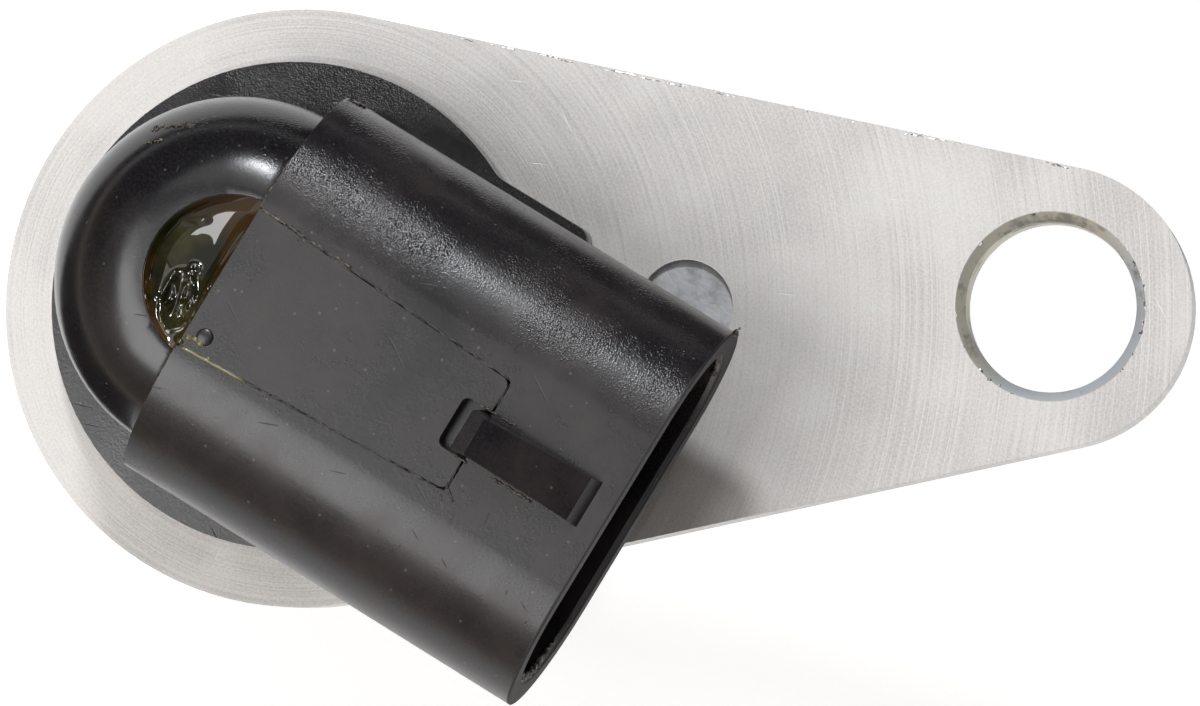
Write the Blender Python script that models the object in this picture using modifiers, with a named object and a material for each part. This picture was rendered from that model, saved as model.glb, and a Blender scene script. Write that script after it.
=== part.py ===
"""Camshaft position sensor: a moulded barrel and elbow, with a two-way connector, on an aluminium flange.

The origin is the centre of the sensing face, at the barrel's tip. +Z runs up the barrel, and +X is the
direction in which the connector opens. The flange's ear points EAR_ANGLE away from +X.
"""

import math

import bmesh
import bpy
from mathutils import Matrix, Vector

MM = 0.001

# Clearances
FIT_GAP = 0.1 * MM  # between pieces that are moulded, pressed or bonded together
STACK_GAP = 0.3 * MM  # between pieces that are only stacked in the bore
SEAM_GAP = 0.08 * MM  # the fine joint lines that show on the outside
OVERCUT = 1.0 * MM  # how far a cutter runs past the face that it opens
EMBED = 0.5 * MM  # how far a joined body reaches into its neighbour

# Flange plate
PLATE_THICKNESS = 3.0 * MM
PLATE_END_RADIUS = 12.43 * MM
EAR_RADIUS = 5.8 * MM
EAR_REACH = 31.2 * MM  # from the barrel's axis to the bolt's axis
EAR_ANGLE = math.radians(31.25)
BOLT_HOLE_RADIUS = 3.5 * MM
BOLT_HOLE_CHAMFER = 0.4 * MM
STAMP_REACH = 16.17 * MM  # from the barrel's axis to the round stamped pit
STAMP_RADIUS = 1.96 * MM
STAMP_DEPTH = 0.35 * MM

# Barrel and its mouldings
BARREL_LENGTH = 27.0 * MM  # from the sensing face to the plate's underside
BARREL_RADIUS = 8.9 * MM
NOSE_STEP = 1.2 * MM  # how much slimmer the nose is than the barrel
NOSE_LENGTH = 6.0 * MM
NOSE_CHAMFER = 0.6 * MM
NECK_STEP = 0.7 * MM  # how much slimmer the barrel is where it passes through the plate
KEY_WIDTH = 3.0 * MM  # the neck's key, which stops the plate from turning
KEY_HEIGHT = 1.0 * MM
GROOVE_WIDTH = 2.8 * MM
GROOVE_DEPTH = 1.9 * MM
GROOVE_BELOW_PLATE = 3.1 * MM  # from the plate's underside to the groove's upper side
SEAL_THICKNESS = 2.2 * MM
COLLAR_RADIUS = 10.08 * MM
COLLAR_HEIGHT = 1.8 * MM
COLLAR_FILLET = 1.0 * MM  # where the round collar runs into its tongue
COLLAR_EDGE_RADIUS = 0.3 * MM
TONGUE_HALF_WIDTH = 8.95 * MM
TONGUE_REACH = 9.2 * MM
TONGUE_CORNER = 0.6 * MM
BOSS_RADIUS = 8.42 * MM  # the low step round the elbow's foot
BOSS_HEIGHT = 0.45 * MM
PEDESTAL_HALF_WIDTH = 8.5 * MM  # the block that carries the shroud
PEDESTAL_REACH = 8.2 * MM
PEDESTAL_CORNER = 0.8 * MM
PEDESTAL_LAP = 0.3 * MM  # how far it runs back past the joint plane

# Connector shroud
SHROUD_LIFT = 4.2 * MM  # from the plate's top face to the shroud's underside
SHROUD_WIDTH = 17.38 * MM
SHROUD_HEIGHT = 8.8 * MM
SHROUD_LENGTH = 18.37 * MM
SHROUD_WALL = 1.2 * MM
SEAM_SETBACK = 1.07 * MM  # the joint with the elbow lies this far behind the barrel's axis
SOCKET_DEPTH = 12.4 * MM
SOCKET_FLOOR = 2.0 * MM
CHAMBER_SHARE = 0.712  # the rear chamber's width, as a share of the shroud's: it is narrower than the elbow
CHAMBER_HALF_HEIGHT = 2.8 * MM
LIP_RADIUS = 0.4 * MM
LIP_CHAMFER = 0.25 * MM
INDEX_RIB_WIDTH = 1.2 * MM
INDEX_RIB_HEIGHT = 0.7 * MM
INDEX_RIB_OFFSET = 0.45 * MM  # how far a rib's middle lies outside its blade's
INDEX_RIB_SETBACK = 2.0 * MM  # from the mouth to the ribs' front ends

# Elbow behind the shroud
DOME_MARGIN = 0.98 * MM  # what the elbow leaves outside the leads' channels
DOME_SHOULDER = 4.2 * MM
DOME_DROP = 0.2 * MM  # how far its top lies below the shroud's
DOME_WALL = 1.3 * MM
WINDOW_MARGIN = 3.98 * MM  # from the elbow's side to the filling window
WINDOW_OFFSET = 0.47 * MM  # the round filling window's centre lies this far in front of the joint
RESIN_DEPTH = 1.4 * MM  # how deep the potting reaches below the elbow's roof

# Cover plate in the shroud's roof
COVER_LENGTH = 12.24 * MM
COVER_BACK_SHARE = 0.36  # its width at each end, as a share of the shroud's
COVER_FRONT_SHARE = 0.289
COVER_THICKNESS = 0.7 * MM
COVER_CORNER = 0.3 * MM
COVER_LEDGE = 0.7 * MM  # the ledge it lies on, round the welding window
WELD_WINDOW_REACH = 3.4 * MM

# Latch nose on the shroud's roof
LATCH_WIDTH = 2.04 * MM
LATCH_HEIGHT = 2.0 * MM
LATCH_LENGTH = 5.65 * MM
LATCH_SETBACK = 0.9 * MM  # from its front end to the mouth
LATCH_FRONT_HEIGHT = 0.6 * MM
LATCH_FRONT_LENGTH = 0.4 * MM
LATCH_ROOT = 0.3 * MM  # how far it reaches into the roof below the pocket
LATCH_CHAMFER_LENGTH = 0.6 * MM
LATCH_CHAMFER_HEIGHT = 0.2 * MM
LATCH_DRAFT = 0.1  # run of a side wall for each unit of its height
LATCH_PIT_LENGTH = 0.82 * MM
LATCH_PIT_CORNER = 0.3 * MM

# Terminals
TERMINAL_MARGIN = 4.14 * MM  # from the socket's side to a blade's middle
BLADE_WIDTH = 1.6 * MM
BLADE_THICKNESS = 0.8 * MM
BLADE_RECESS = 3.1 * MM  # from the mouth to the blades' tips
BLADE_TIP_CHAMFER = 0.5 * MM
SHOULDER_WIDTH = 2.6 * MM
SHOULDER_LENGTH = 0.9 * MM
TAIL_WIDTH = 1.2 * MM
TAIL_REACH = 1.0 * MM  # how far a tail runs back past the joint plane
CARRIER_LENGTH = 1.9 * MM

# Coil stack in the bore
BARREL_WALL = 3.3 * MM
TIP_WALL = 1.0 * MM
POLE_HEAD_INSET = 0.7 * MM  # how far the pole's head stays inside the bobbin's flange
POLE_HEAD_THICKNESS = 1.2 * MM
BOBBIN_LENGTH = 11.7 * MM
BOBBIN_TUBE_SHARE = 0.143  # the tube's wall, as a share of the bore's radius
BOBBIN_FLANGE_THICKNESS = 0.9 * MM
WINDING_SHARE = 0.196  # the winding's thickness, as a share of the bore's radius
TAPE_THICKNESS = 0.25 * MM
TAPE_INSET_SHARE = 0.08  # how far the tape stays inside the bobbin's flange, as a share of the bore's radius
MAGNET_LENGTH = 6.0 * MM
DISC_THICKNESS = 1.5 * MM
RETAINER_LENGTH = 7.0 * MM
RETAINER_WALL = 1.2 * MM
RETAINER_BASE = 1.2 * MM

# Lead wires
LEAD_RADIUS = 0.3 * MM
LEAD_ANGLE = math.radians(130)  # where the leads climb the bore, either side of +X
LEAD_FOOT_DEPTH = 2.1 * MM  # how far a lead reaches down beside the winding
CHANNEL_WIDTH = 1.8 * MM
CHANNEL_DEPTH = 0.9 * MM
SOLDER_RADIUS = 0.55 * MM
SOLDER_HEIGHT = 0.7 * MM

# Roundness
ROUND_STEPS = 96
SMALL_STEPS = 32
ARC_STEPS = 14
MERGE = 0.000001

# Heights and places worked out from the sizes above
PLATE_TOP = BARREL_LENGTH + PLATE_THICKNESS
COLLAR_TOP = PLATE_TOP + COLLAR_HEIGHT
SHROUD_BOTTOM = PLATE_TOP + SHROUD_LIFT
SHROUD_TOP = SHROUD_BOTTOM + SHROUD_HEIGHT
SHROUD_MIDDLE = SHROUD_BOTTOM + SHROUD_HEIGHT / 2
PEDESTAL_TOP = SHROUD_BOTTOM - FIT_GAP
SEAM = -SEAM_SETBACK
MOUTH = SEAM + SHROUD_LENGTH
SOCKET_BACK = MOUTH - SOCKET_DEPTH
CHAMBER_FRONT = SOCKET_BACK - SOCKET_FLOOR
SOCKET_HALF_WIDTH = SHROUD_WIDTH / 2 - SHROUD_WALL
SOCKET_HALF_HEIGHT = SHROUD_HEIGHT / 2 - SHROUD_WALL
CHAMBER_HALF_WIDTH = CHAMBER_SHARE * SHROUD_WIDTH / 2
DOME_TOP = SHROUD_TOP - DOME_DROP
COVER_BACK_WIDTH = COVER_BACK_SHARE * SHROUD_WIDTH
COVER_FRONT_WIDTH = COVER_FRONT_SHARE * SHROUD_WIDTH
COVER_BOTTOM = SHROUD_TOP - COVER_THICKNESS
COVER_FRONT = SEAM + COVER_LENGTH
LATCH_FRONT = MOUTH - LATCH_SETBACK
LATCH_BACK = LATCH_FRONT - LATCH_LENGTH
GROOVE_TOP = BARREL_LENGTH - GROOVE_BELOW_PLATE
TERMINAL_Y = SOCKET_HALF_WIDTH - TERMINAL_MARGIN
NOSE_RADIUS = BARREL_RADIUS - NOSE_STEP
NECK_RADIUS = BARREL_RADIUS - NECK_STEP
BORE_RADIUS = BARREL_RADIUS - BARREL_WALL
LEAD_RING_RADIUS = BORE_RADIUS + CHANNEL_DEPTH - STACK_GAP - LEAD_RADIUS
DOME_RADIUS = BORE_RADIUS + CHANNEL_DEPTH + DOME_MARGIN
WINDOW_RADIUS = DOME_RADIUS - WINDOW_MARGIN

EAR_DIRECTION = Vector((math.cos(EAR_ANGLE), math.sin(EAR_ANGLE)))
ALONG_CONNECTOR = Matrix(((0, 0, 1), (1, 0, 0), (0, 1, 0))).to_4x4()  # an outline in Y and Z, drawn out along X
SIDE_ON = Matrix(((1, 0, 0), (0, 0, -1), (0, 1, 0))).to_4x4()  # an outline in X and Z, drawn out along Y


def clear_scene():
    for obj in list(bpy.data.objects):
        bpy.data.objects.remove(obj)


def new_collection(name):
    collection = bpy.data.collections.new(name)
    bpy.context.scene.collection.children.link(collection)
    return collection


def finish(obj, name, colour, roughness, metallic=0.0):
    """Gives a piece its name and its own material."""
    material = bpy.data.materials.new(name)
    material.use_nodes = True
    shader = material.node_tree.nodes["Principled BSDF"]
    shader.inputs["Base Color"].default_value = (*colour, 1.0)
    shader.inputs["Roughness"].default_value = roughness
    shader.inputs["Metallic"].default_value = metallic
    obj.name = name
    obj.data.name = name
    obj.data.materials.clear()
    obj.data.materials.append(material)
    return obj


def as_tool(obj):
    """Moves an object that only cuts or joins others into its own collection, out of the render."""
    for collection in list(obj.users_collection):
        collection.objects.unlink(obj)
    TOOLS.objects.link(obj)
    obj.hide_render = True
    obj.display_type = "WIRE"
    return obj


def combine(target, tool, operation):
    modifier = target.modifiers.new(f"{operation.lower()}_{tool.name}", "BOOLEAN")
    modifier.operation = operation
    modifier.solver = "EXACT"
    modifier.object = as_tool(tool)


def cut(target, *tools):
    for tool in tools:
        combine(target, tool, "DIFFERENCE")


def join(target, *tools):
    for tool in tools:
        combine(target, tool, "UNION")


def object_from(mesh, name):
    mesh.shade_smooth()
    mesh.set_sharp_from_angle(angle=math.radians(30))
    obj = bpy.data.objects.new(name, mesh)
    PART.objects.link(obj)
    return obj


def object_from_bmesh(bm, name):
    bmesh.ops.recalc_face_normals(bm, faces=bm.faces)
    mesh = bpy.data.meshes.new(name)
    bm.to_mesh(mesh)
    bm.free()
    return object_from(mesh, name)


def arc(centre, radius, start, end, steps=ARC_STEPS):
    """Points from one angle to another, in degrees, both ends included."""
    angles = (math.radians(start + (end - start) * step / steps) for step in range(steps + 1))
    return [(centre[0] + radius * math.cos(a), centre[1] + radius * math.sin(a)) for a in angles]


def box(name, low, high):
    bm = bmesh.new()
    size = Vector(high) - Vector(low)
    middle = (Vector(high) + Vector(low)) / 2
    bmesh.ops.create_cube(bm, size=1, matrix=Matrix.Translation(middle) @ Matrix.Diagonal((*size, 1)))
    return object_from_bmesh(bm, name)


def rod(name, radius, low, high, centre=(0, 0), steps=ROUND_STEPS):
    """A plain upright cylinder between two heights."""
    bm = bmesh.new()
    place = Matrix.Translation((*centre, (low + high) / 2))
    bmesh.ops.create_cone(
        bm, cap_ends=True, segments=steps, radius1=radius, radius2=radius, depth=high - low, matrix=place
    )
    return object_from_bmesh(bm, name)


def turned(name, profile, steps=ROUND_STEPS, centre=(0, 0), closed=False):
    """A profile of radius and height, which runs down its outer side, turned about an upright axis."""
    bm = bmesh.new()
    points = [bm.verts.new((radius, 0, height)) for radius, height in profile]
    for first, second in zip(points, points[1:]):
        bm.edges.new((first, second))
    if closed:
        bm.edges.new((points[-1], points[0]))
    mesh = bpy.data.meshes.new(name)
    bm.to_mesh(mesh)
    bm.free()
    obj = bpy.data.objects.new(name, mesh)
    PART.objects.link(obj)
    obj.location = (*centre, 0)
    screw = obj.modifiers.new("turn", "SCREW")
    screw.steps = steps
    screw.render_steps = steps
    screw.use_merge_vertices = True
    screw.merge_threshold = MERGE
    screw.use_smooth_shade = True
    return obj


def ring(name, inner, outer, low, high, steps=ROUND_STEPS):
    """A turned tube of rectangular section."""
    profile = [(inner, high), (outer, high), (outer, low), (inner, low)]
    return turned(name, profile, steps, closed=True)


def outline_solid(name, points, thickness, place):
    """A flat outline drawn out to a thickness that is centred on its plane, as a mesh."""
    curve = bpy.data.curves.new(name, "CURVE")
    curve.dimensions = "2D"
    curve.fill_mode = "BOTH"
    curve.extrude = thickness / 2
    spline = curve.splines.new("POLY")
    spline.points.add(len(points) - 1)
    for point, (u, v) in zip(spline.points, points):
        point.co = (u, v, 0, 1)
    spline.use_cyclic_u = True
    guide = bpy.data.objects.new(name, curve)
    PART.objects.link(guide)
    graph = bpy.context.evaluated_depsgraph_get()
    mesh = bpy.data.meshes.new_from_object(guide.evaluated_get(graph))
    bpy.data.objects.remove(guide)
    mesh.transform(place)
    bm = bmesh.new()
    bm.from_mesh(mesh)
    bmesh.ops.remove_doubles(bm, verts=bm.verts, dist=MERGE)
    bpy.data.meshes.remove(mesh)
    return object_from_bmesh(bm, name)


def along_connector(name, points, back, front):
    """An outline in Y and Z drawn out along X, from back to front."""
    place = Matrix.Translation(((back + front) / 2, 0, 0)) @ ALONG_CONNECTOR
    return outline_solid(name, points, front - back, place)


def lying_flat(name, points, low, high):
    """An outline in X and Y drawn out upwards."""
    return outline_solid(name, points, high - low, Matrix.Translation((0, 0, (low + high) / 2)))


def stadium(half_width, half_height, middle):
    """A flat-topped outline with full-round sides, centred on Y = 0 and the middle height."""
    centre = half_width - half_height
    right = arc((centre, middle), half_height, -90, 90, 2 * ARC_STEPS)
    left = arc((-centre, middle), half_height, 90, 270, 2 * ARC_STEPS)
    return right + left


def round_edges(obj, radius, segments, chosen):
    """Rounds the edges of a mesh whose two ends both satisfy a test on their place."""
    bm = bmesh.new()
    bm.from_mesh(obj.data)
    edges = [
        edge
        for edge in bm.edges
        if all(chosen(vert.co) for vert in edge.verts) and edge.calc_face_angle(0) > math.radians(45)
    ]
    bmesh.ops.bevel(
        bm, geom=edges, offset=radius, segments=segments, profile=0.5, affect="EDGES", clamp_overlap=True
    )
    bm.to_mesh(obj.data)
    bm.free()


def flange_outline():
    """Two round ends of unlike radius and the lines that touch both, about the ear's direction."""
    lean = math.degrees(math.asin((PLATE_END_RADIUS - EAR_RADIUS) / EAR_REACH))
    turn = math.degrees(EAR_ANGLE)
    ear_centre = EAR_DIRECTION * EAR_REACH
    ear = arc(ear_centre, EAR_RADIUS, turn - 90 + lean, turn + 90 - lean, 2 * ARC_STEPS)
    big_end = arc((0, 0), PLATE_END_RADIUS, turn + 90 - lean, turn + 270 + lean, 4 * ARC_STEPS)
    return ear + big_end


def key_box(name, width, reach, low, high):
    """The neck's key, or the slot for it, which points at the ear."""
    key = box(name, (0, -width / 2, low), (reach, width / 2, high))
    key.rotation_euler = (0, 0, EAR_ANGLE)
    return key


def make_plate():
    plate = lying_flat("mounting_plate", flange_outline(), BARREL_LENGTH, PLATE_TOP)
    neck_hole = rod("neck_hole", NECK_RADIUS + FIT_GAP, BARREL_LENGTH - OVERCUT, PLATE_TOP + OVERCUT)
    key_slot = key_box(
        "key_slot",
        KEY_WIDTH + 2 * FIT_GAP,
        NECK_RADIUS + KEY_HEIGHT + FIT_GAP,
        BARREL_LENGTH - OVERCUT,
        PLATE_TOP + OVERCUT,
    )
    wide = BOLT_HOLE_RADIUS + BOLT_HOLE_CHAMFER + OVERCUT
    bolt_profile = [
        (0, PLATE_TOP + OVERCUT),
        (wide, PLATE_TOP + OVERCUT),
        (BOLT_HOLE_RADIUS, PLATE_TOP - BOLT_HOLE_CHAMFER),
        (BOLT_HOLE_RADIUS, BARREL_LENGTH + BOLT_HOLE_CHAMFER),
        (wide, BARREL_LENGTH - OVERCUT),
        (0, BARREL_LENGTH - OVERCUT),
    ]
    bolt_hole = turned("bolt_hole", bolt_profile, centre=EAR_DIRECTION * EAR_REACH)
    pit = rod(
        "stamped_pit",
        STAMP_RADIUS,
        PLATE_TOP - STAMP_DEPTH,
        PLATE_TOP + OVERCUT,
        EAR_DIRECTION * STAMP_REACH,
        SMALL_STEPS,
    )
    cut(plate, neck_hole, key_slot, bolt_hole, pit)
    return finish(plate, "mounting_plate", (0.72, 0.71, 0.68), 0.38, 1.0)


def barrel_profile():
    """The barrel's outer side from the boss on the collar down to the sensing face."""
    groove_radius = BARREL_RADIUS - GROOVE_DEPTH
    groove_bottom = GROOVE_TOP - GROOVE_WIDTH
    nose_shoulder = NOSE_LENGTH + (BARREL_RADIUS - NOSE_RADIUS)
    barrel_top = BARREL_LENGTH - FIT_GAP
    inside_collar = PLATE_TOP + COLLAR_HEIGHT / 2
    return [
        (0, COLLAR_TOP + BOSS_HEIGHT),
        (BOSS_RADIUS, COLLAR_TOP + BOSS_HEIGHT),
        (BOSS_RADIUS, inside_collar),
        (NECK_RADIUS, inside_collar),
        (NECK_RADIUS, barrel_top),
        (BARREL_RADIUS, barrel_top),
        (BARREL_RADIUS, GROOVE_TOP),
        (groove_radius, GROOVE_TOP),
        (groove_radius, groove_bottom),
        (BARREL_RADIUS, groove_bottom),
        (BARREL_RADIUS, nose_shoulder),
        (NOSE_RADIUS, NOSE_LENGTH),
        (NOSE_RADIUS, NOSE_CHAMFER),
        (NOSE_RADIUS - NOSE_CHAMFER, 0),
        (0, 0),
    ]


def collar_outline():
    """The round collar and its tongue under the connector."""
    # The fillet's centre lies off both the round and the tongue's side
    fillet_y = TONGUE_HALF_WIDTH + COLLAR_FILLET
    fillet_x = math.sqrt((COLLAR_RADIUS + COLLAR_FILLET) ** 2 - fillet_y**2)
    meeting = math.degrees(math.atan2(fillet_y, fillet_x))
    corner_centre = (TONGUE_REACH - TONGUE_CORNER, TONGUE_HALF_WIDTH - TONGUE_CORNER)
    corner = arc(corner_centre, TONGUE_CORNER, 0, 90, ARC_STEPS // 2)
    fillet = arc((fillet_x, fillet_y), COLLAR_FILLET, 270, 180 + meeting, ARC_STEPS // 2)
    back = arc((0, 0), COLLAR_RADIUS, meeting, 180, 2 * ARC_STEPS)
    half = corner + fillet + back[1:]
    return half + [(x, -y) for x, y in reversed(half[:-1])]


def make_collar():
    collar = lying_flat("collar", collar_outline(), PLATE_TOP + FIT_GAP, COLLAR_TOP)
    round_edges(collar, COLLAR_EDGE_RADIUS, 2, lambda place: place.z > COLLAR_TOP - MERGE)
    return collar


def make_pedestal():
    """The block between the collar and the shroud, with two rounded front corners."""
    back = SEAM - PEDESTAL_LAP
    side = PEDESTAL_HALF_WIDTH
    corner_centre = (PEDESTAL_REACH - PEDESTAL_CORNER, side - PEDESTAL_CORNER)
    corner = arc(corner_centre, PEDESTAL_CORNER, 0, 90, ARC_STEPS // 2)
    half = [*corner, (back, side)]
    outline = half + [(x, -y) for x, y in reversed(half)]
    return lying_flat("pedestal", outline, COLLAR_TOP - EMBED, PEDESTAL_TOP)


def make_dome():
    """The elbow's outer form: turned about the joint plane, then cut off at that plane."""
    shoulder_centre = (DOME_RADIUS - DOME_SHOULDER, DOME_TOP - DOME_SHOULDER)
    profile = [(0, DOME_TOP), *arc(shoulder_centre, DOME_SHOULDER, 90, 0)]
    profile += [(DOME_RADIUS, COLLAR_TOP - EMBED), (0, COLLAR_TOP - EMBED)]
    dome = turned("dome", profile, centre=(SEAM, 0))
    front = box(
        "dome_front",
        (SEAM - SEAM_GAP / 2, -DOME_RADIUS - OVERCUT, COLLAR_TOP - 2 * EMBED),
        (SEAM + DOME_RADIUS + OVERCUT, DOME_RADIUS + OVERCUT, DOME_TOP + OVERCUT),
    )
    cut(dome, front)
    return dome


def elbow_outline(radius, front):
    """A half round behind the joint plane, carried forward to a straight front."""
    return arc((SEAM, 0), radius, 90, 270, ROUND_STEPS // 2) + [(front, -radius), (front, radius)]


def lead_channel(side):
    """The groove down the bore's wall that a lead lies in."""
    outer = BORE_RADIUS + CHANNEL_DEPTH
    bottom = TIP_WALL + BOBBIN_LENGTH - LEAD_FOOT_DEPTH - STACK_GAP
    groove = box(
        f"lead_channel_{side:+d}",
        (0, -CHANNEL_WIDTH / 2, bottom),
        (outer, CHANNEL_WIDTH / 2, PEDESTAL_TOP + OVERCUT),
    )
    groove.rotation_euler = (0, 0, side * LEAD_ANGLE)
    return groove


def make_housing():
    housing = turned("sensor_housing", barrel_profile())
    key = key_box("neck_key", KEY_WIDTH, NECK_RADIUS + KEY_HEIGHT, BARREL_LENGTH + FIT_GAP, PLATE_TOP + EMBED)
    join(housing, make_collar(), key, make_pedestal(), make_dome())
    bore = rod("bore", BORE_RADIUS, TIP_WALL, PEDESTAL_TOP + OVERCUT)
    cavity = lying_flat(
        "elbow_cavity",
        elbow_outline(DOME_RADIUS - DOME_WALL, SEAM + OVERCUT),
        PEDESTAL_TOP - EMBED,
        DOME_TOP - DOME_WALL,
    )
    window = rod(
        "filling_window",
        WINDOW_RADIUS,
        DOME_TOP - DOME_WALL - OVERCUT,
        DOME_TOP + OVERCUT,
        (SEAM + WINDOW_OFFSET, 0),
        SMALL_STEPS * 2,
    )
    cut(housing, bore, lead_channel(1), lead_channel(-1), cavity, window)
    return finish(housing, "sensor_housing", (0.022, 0.021, 0.022), 0.3)


def cover_outline(grow, back):
    """The cover's trapezium with its two rounded front corners, or the pocket a little larger."""
    widening = (COVER_BACK_WIDTH - COVER_FRONT_WIDTH) / 2 / COVER_LENGTH
    front = COVER_FRONT + grow
    front_half = COVER_FRONT_WIDTH / 2 + grow
    back_half = COVER_BACK_WIDTH / 2 + grow + widening * (SEAM - back)
    corner = arc((front - COVER_CORNER, front_half - COVER_CORNER), COVER_CORNER, 0, 90, 4)
    return [(back, -back_half), *((x, -y) for x, y in reversed(corner)), *corner, (back, back_half)]


def latch_notch(name, grow, low, high):
    """The pit behind the latch nose, open to the front, with rounded back corners."""
    half = LATCH_WIDTH / 2 + grow
    back = LATCH_BACK - LATCH_PIT_LENGTH
    corner = arc((back + LATCH_PIT_CORNER, half - LATCH_PIT_CORNER), LATCH_PIT_CORNER, 90, 180, 4)
    front = COVER_FRONT + OVERCUT
    outline = [(front, half), *corner, *((x, -y) for x, y in reversed(corner)), (front, -half)]
    return lying_flat(name, outline, low, high)


def make_latch_nose():
    """The nose that the mating plug hooks behind: a steep back, a short lead and a long slope to the mouth."""
    foot = COVER_BOTTOM - SEAM_GAP - LATCH_ROOT
    peak = SHROUD_TOP + LATCH_HEIGHT
    profile = [
        (LATCH_BACK, foot),
        (LATCH_FRONT, foot),
        (LATCH_FRONT, SHROUD_TOP),
        (LATCH_FRONT - LATCH_FRONT_LENGTH, SHROUD_TOP + LATCH_FRONT_HEIGHT),
        (LATCH_BACK + LATCH_CHAMFER_LENGTH, peak),
        (LATCH_BACK, peak - LATCH_CHAMFER_HEIGHT),
    ]
    nose = outline_solid("latch_nose", profile, LATCH_WIDTH, SIDE_ON)
    for vert in nose.data.vertices:
        rise = max(0.0, vert.co.z - SHROUD_TOP)
        vert.co.y -= math.copysign(rise * LATCH_DRAFT, vert.co.y)
    return nose


def lofted(name, outlines):
    """A solid between two outlines in Y and Z that have the same number of points, by their place along X."""
    bm = bmesh.new()
    rims = []
    for x, points in outlines:
        verts = [bm.verts.new((x, y, z)) for y, z in points]
        rims.extend(bm.edges.new((a, b)) for a, b in zip(verts, verts[1:] + verts[:1]))
        bm.faces.new(verts)
    bmesh.ops.bridge_loops(bm, edges=rims)
    return object_from_bmesh(bm, name)


def socket_outline(grow):
    return stadium(SOCKET_HALF_WIDTH + grow, SOCKET_HALF_HEIGHT + grow, SHROUD_MIDDLE)


def index_rib(side):
    y = side * (TERMINAL_Y + INDEX_RIB_OFFSET)
    floor = SHROUD_MIDDLE - SOCKET_HALF_HEIGHT
    return box(
        f"index_rib_{side:+d}",
        (SOCKET_BACK - EMBED, y - INDEX_RIB_WIDTH / 2, floor - EMBED),
        (MOUTH - INDEX_RIB_SETBACK, y + INDEX_RIB_WIDTH / 2, floor + INDEX_RIB_HEIGHT),
    )


def blade_slot(name, side, width, back, front):
    y = side * TERMINAL_Y
    half = BLADE_THICKNESS / 2 + FIT_GAP
    return box(
        name,
        (back, y - width / 2 - FIT_GAP, SHROUD_MIDDLE - half),
        (front, y + width / 2 + FIT_GAP, SHROUD_MIDDLE + half),
    )


def make_shroud():
    back = SEAM + SEAM_GAP / 2
    outer = stadium(SHROUD_WIDTH / 2, SHROUD_HEIGHT / 2, SHROUD_MIDDLE)
    shroud = along_connector("connector_shroud", outer, back, MOUTH)
    round_edges(shroud, LIP_RADIUS, 3, lambda place: place.x > MOUTH - MERGE)
    pocket = lying_flat(
        "cover_pocket", cover_outline(SEAM_GAP, SEAM - OVERCUT), COVER_BOTTOM - SEAM_GAP, SHROUD_TOP + OVERCUT
    )
    cut(shroud, pocket)
    join(shroud, make_latch_nose())
    socket = along_connector("socket", socket_outline(0), SOCKET_BACK, MOUTH + OVERCUT)
    lip = lofted(
        "lip_chamfer",
        [
            (MOUTH - LIP_CHAMFER - EMBED, socket_outline(-EMBED)),
            (MOUTH + EMBED, socket_outline(LIP_CHAMFER + EMBED)),
        ],
    )
    chamber_outline = stadium(CHAMBER_HALF_WIDTH, CHAMBER_HALF_HEIGHT, SHROUD_MIDDLE)
    chamber = along_connector("terminal_chamber", chamber_outline, SEAM - OVERCUT, CHAMBER_FRONT)
    ledge_half = COVER_BACK_WIDTH / 2 - COVER_LEDGE
    weld_window = box(
        "weld_window",
        (SEAM - OVERCUT, -ledge_half, SHROUD_MIDDLE),
        (SEAM + WELD_WINDOW_REACH, ledge_half, SHROUD_TOP + OVERCUT),
    )
    cut(shroud, chamber, weld_window, socket)
    join(shroud, index_rib(1), index_rib(-1))
    for side in (1, -1):
        slot = blade_slot(f"floor_slot_{side:+d}", side, BLADE_WIDTH, CHAMBER_FRONT - EMBED, SOCKET_BACK + EMBED)
        cut(shroud, slot)
    cut(shroud, lip)
    return finish(shroud, "connector_shroud", (0.026, 0.025, 0.027), 0.28)


def make_cover():
    outline = cover_outline(0, SEAM + SEAM_GAP / 2)
    cover = lying_flat("cavity_cover", outline, COVER_BOTTOM, SHROUD_TOP)
    cut(cover, latch_notch("cover_notch", SEAM_GAP, COVER_BOTTOM - OVERCUT, SHROUD_TOP + OVERCUT))
    return finish(cover, "cavity_cover", (0.028, 0.028, 0.03), 0.34)


def make_resin():
    """The potting in the elbow: a slab under its roof and a plug that stands in the window."""
    slab_top = DOME_TOP - DOME_WALL - FIT_GAP
    slab_radius = DOME_RADIUS - DOME_WALL - FIT_GAP
    plug_radius = WINDOW_RADIUS - FIT_GAP
    resin = rod("potting_resin", slab_radius, slab_top - RESIN_DEPTH, slab_top, (SEAM, 0))
    plug = rod("resin_plug", plug_radius, slab_top - EMBED, DOME_TOP, (SEAM + WINDOW_OFFSET, 0), SMALL_STEPS * 2)
    front = box(
        "resin_front",
        (SEAM - SEAM_GAP / 2, -DOME_RADIUS, slab_top - RESIN_DEPTH - OVERCUT),
        (SEAM + DOME_RADIUS, DOME_RADIUS, DOME_TOP + OVERCUT),
    )
    join(resin, plug)
    cut(resin, front)
    return finish(resin, "potting_resin", (0.16, 0.12, 0.02), 0.08)


def make_seal():
    """The O-ring in its groove."""
    radius = SEAL_THICKNESS / 2
    centre = (BARREL_RADIUS - GROOVE_DEPTH + FIT_GAP + radius, GROOVE_TOP - GROOVE_WIDTH / 2)
    section = arc(centre, radius, 90, -270, 12)[:-1]
    seal = turned("o_ring", section, 48, closed=True)
    return finish(seal, "o_ring", (0.02, 0.02, 0.02), 0.55)


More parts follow.
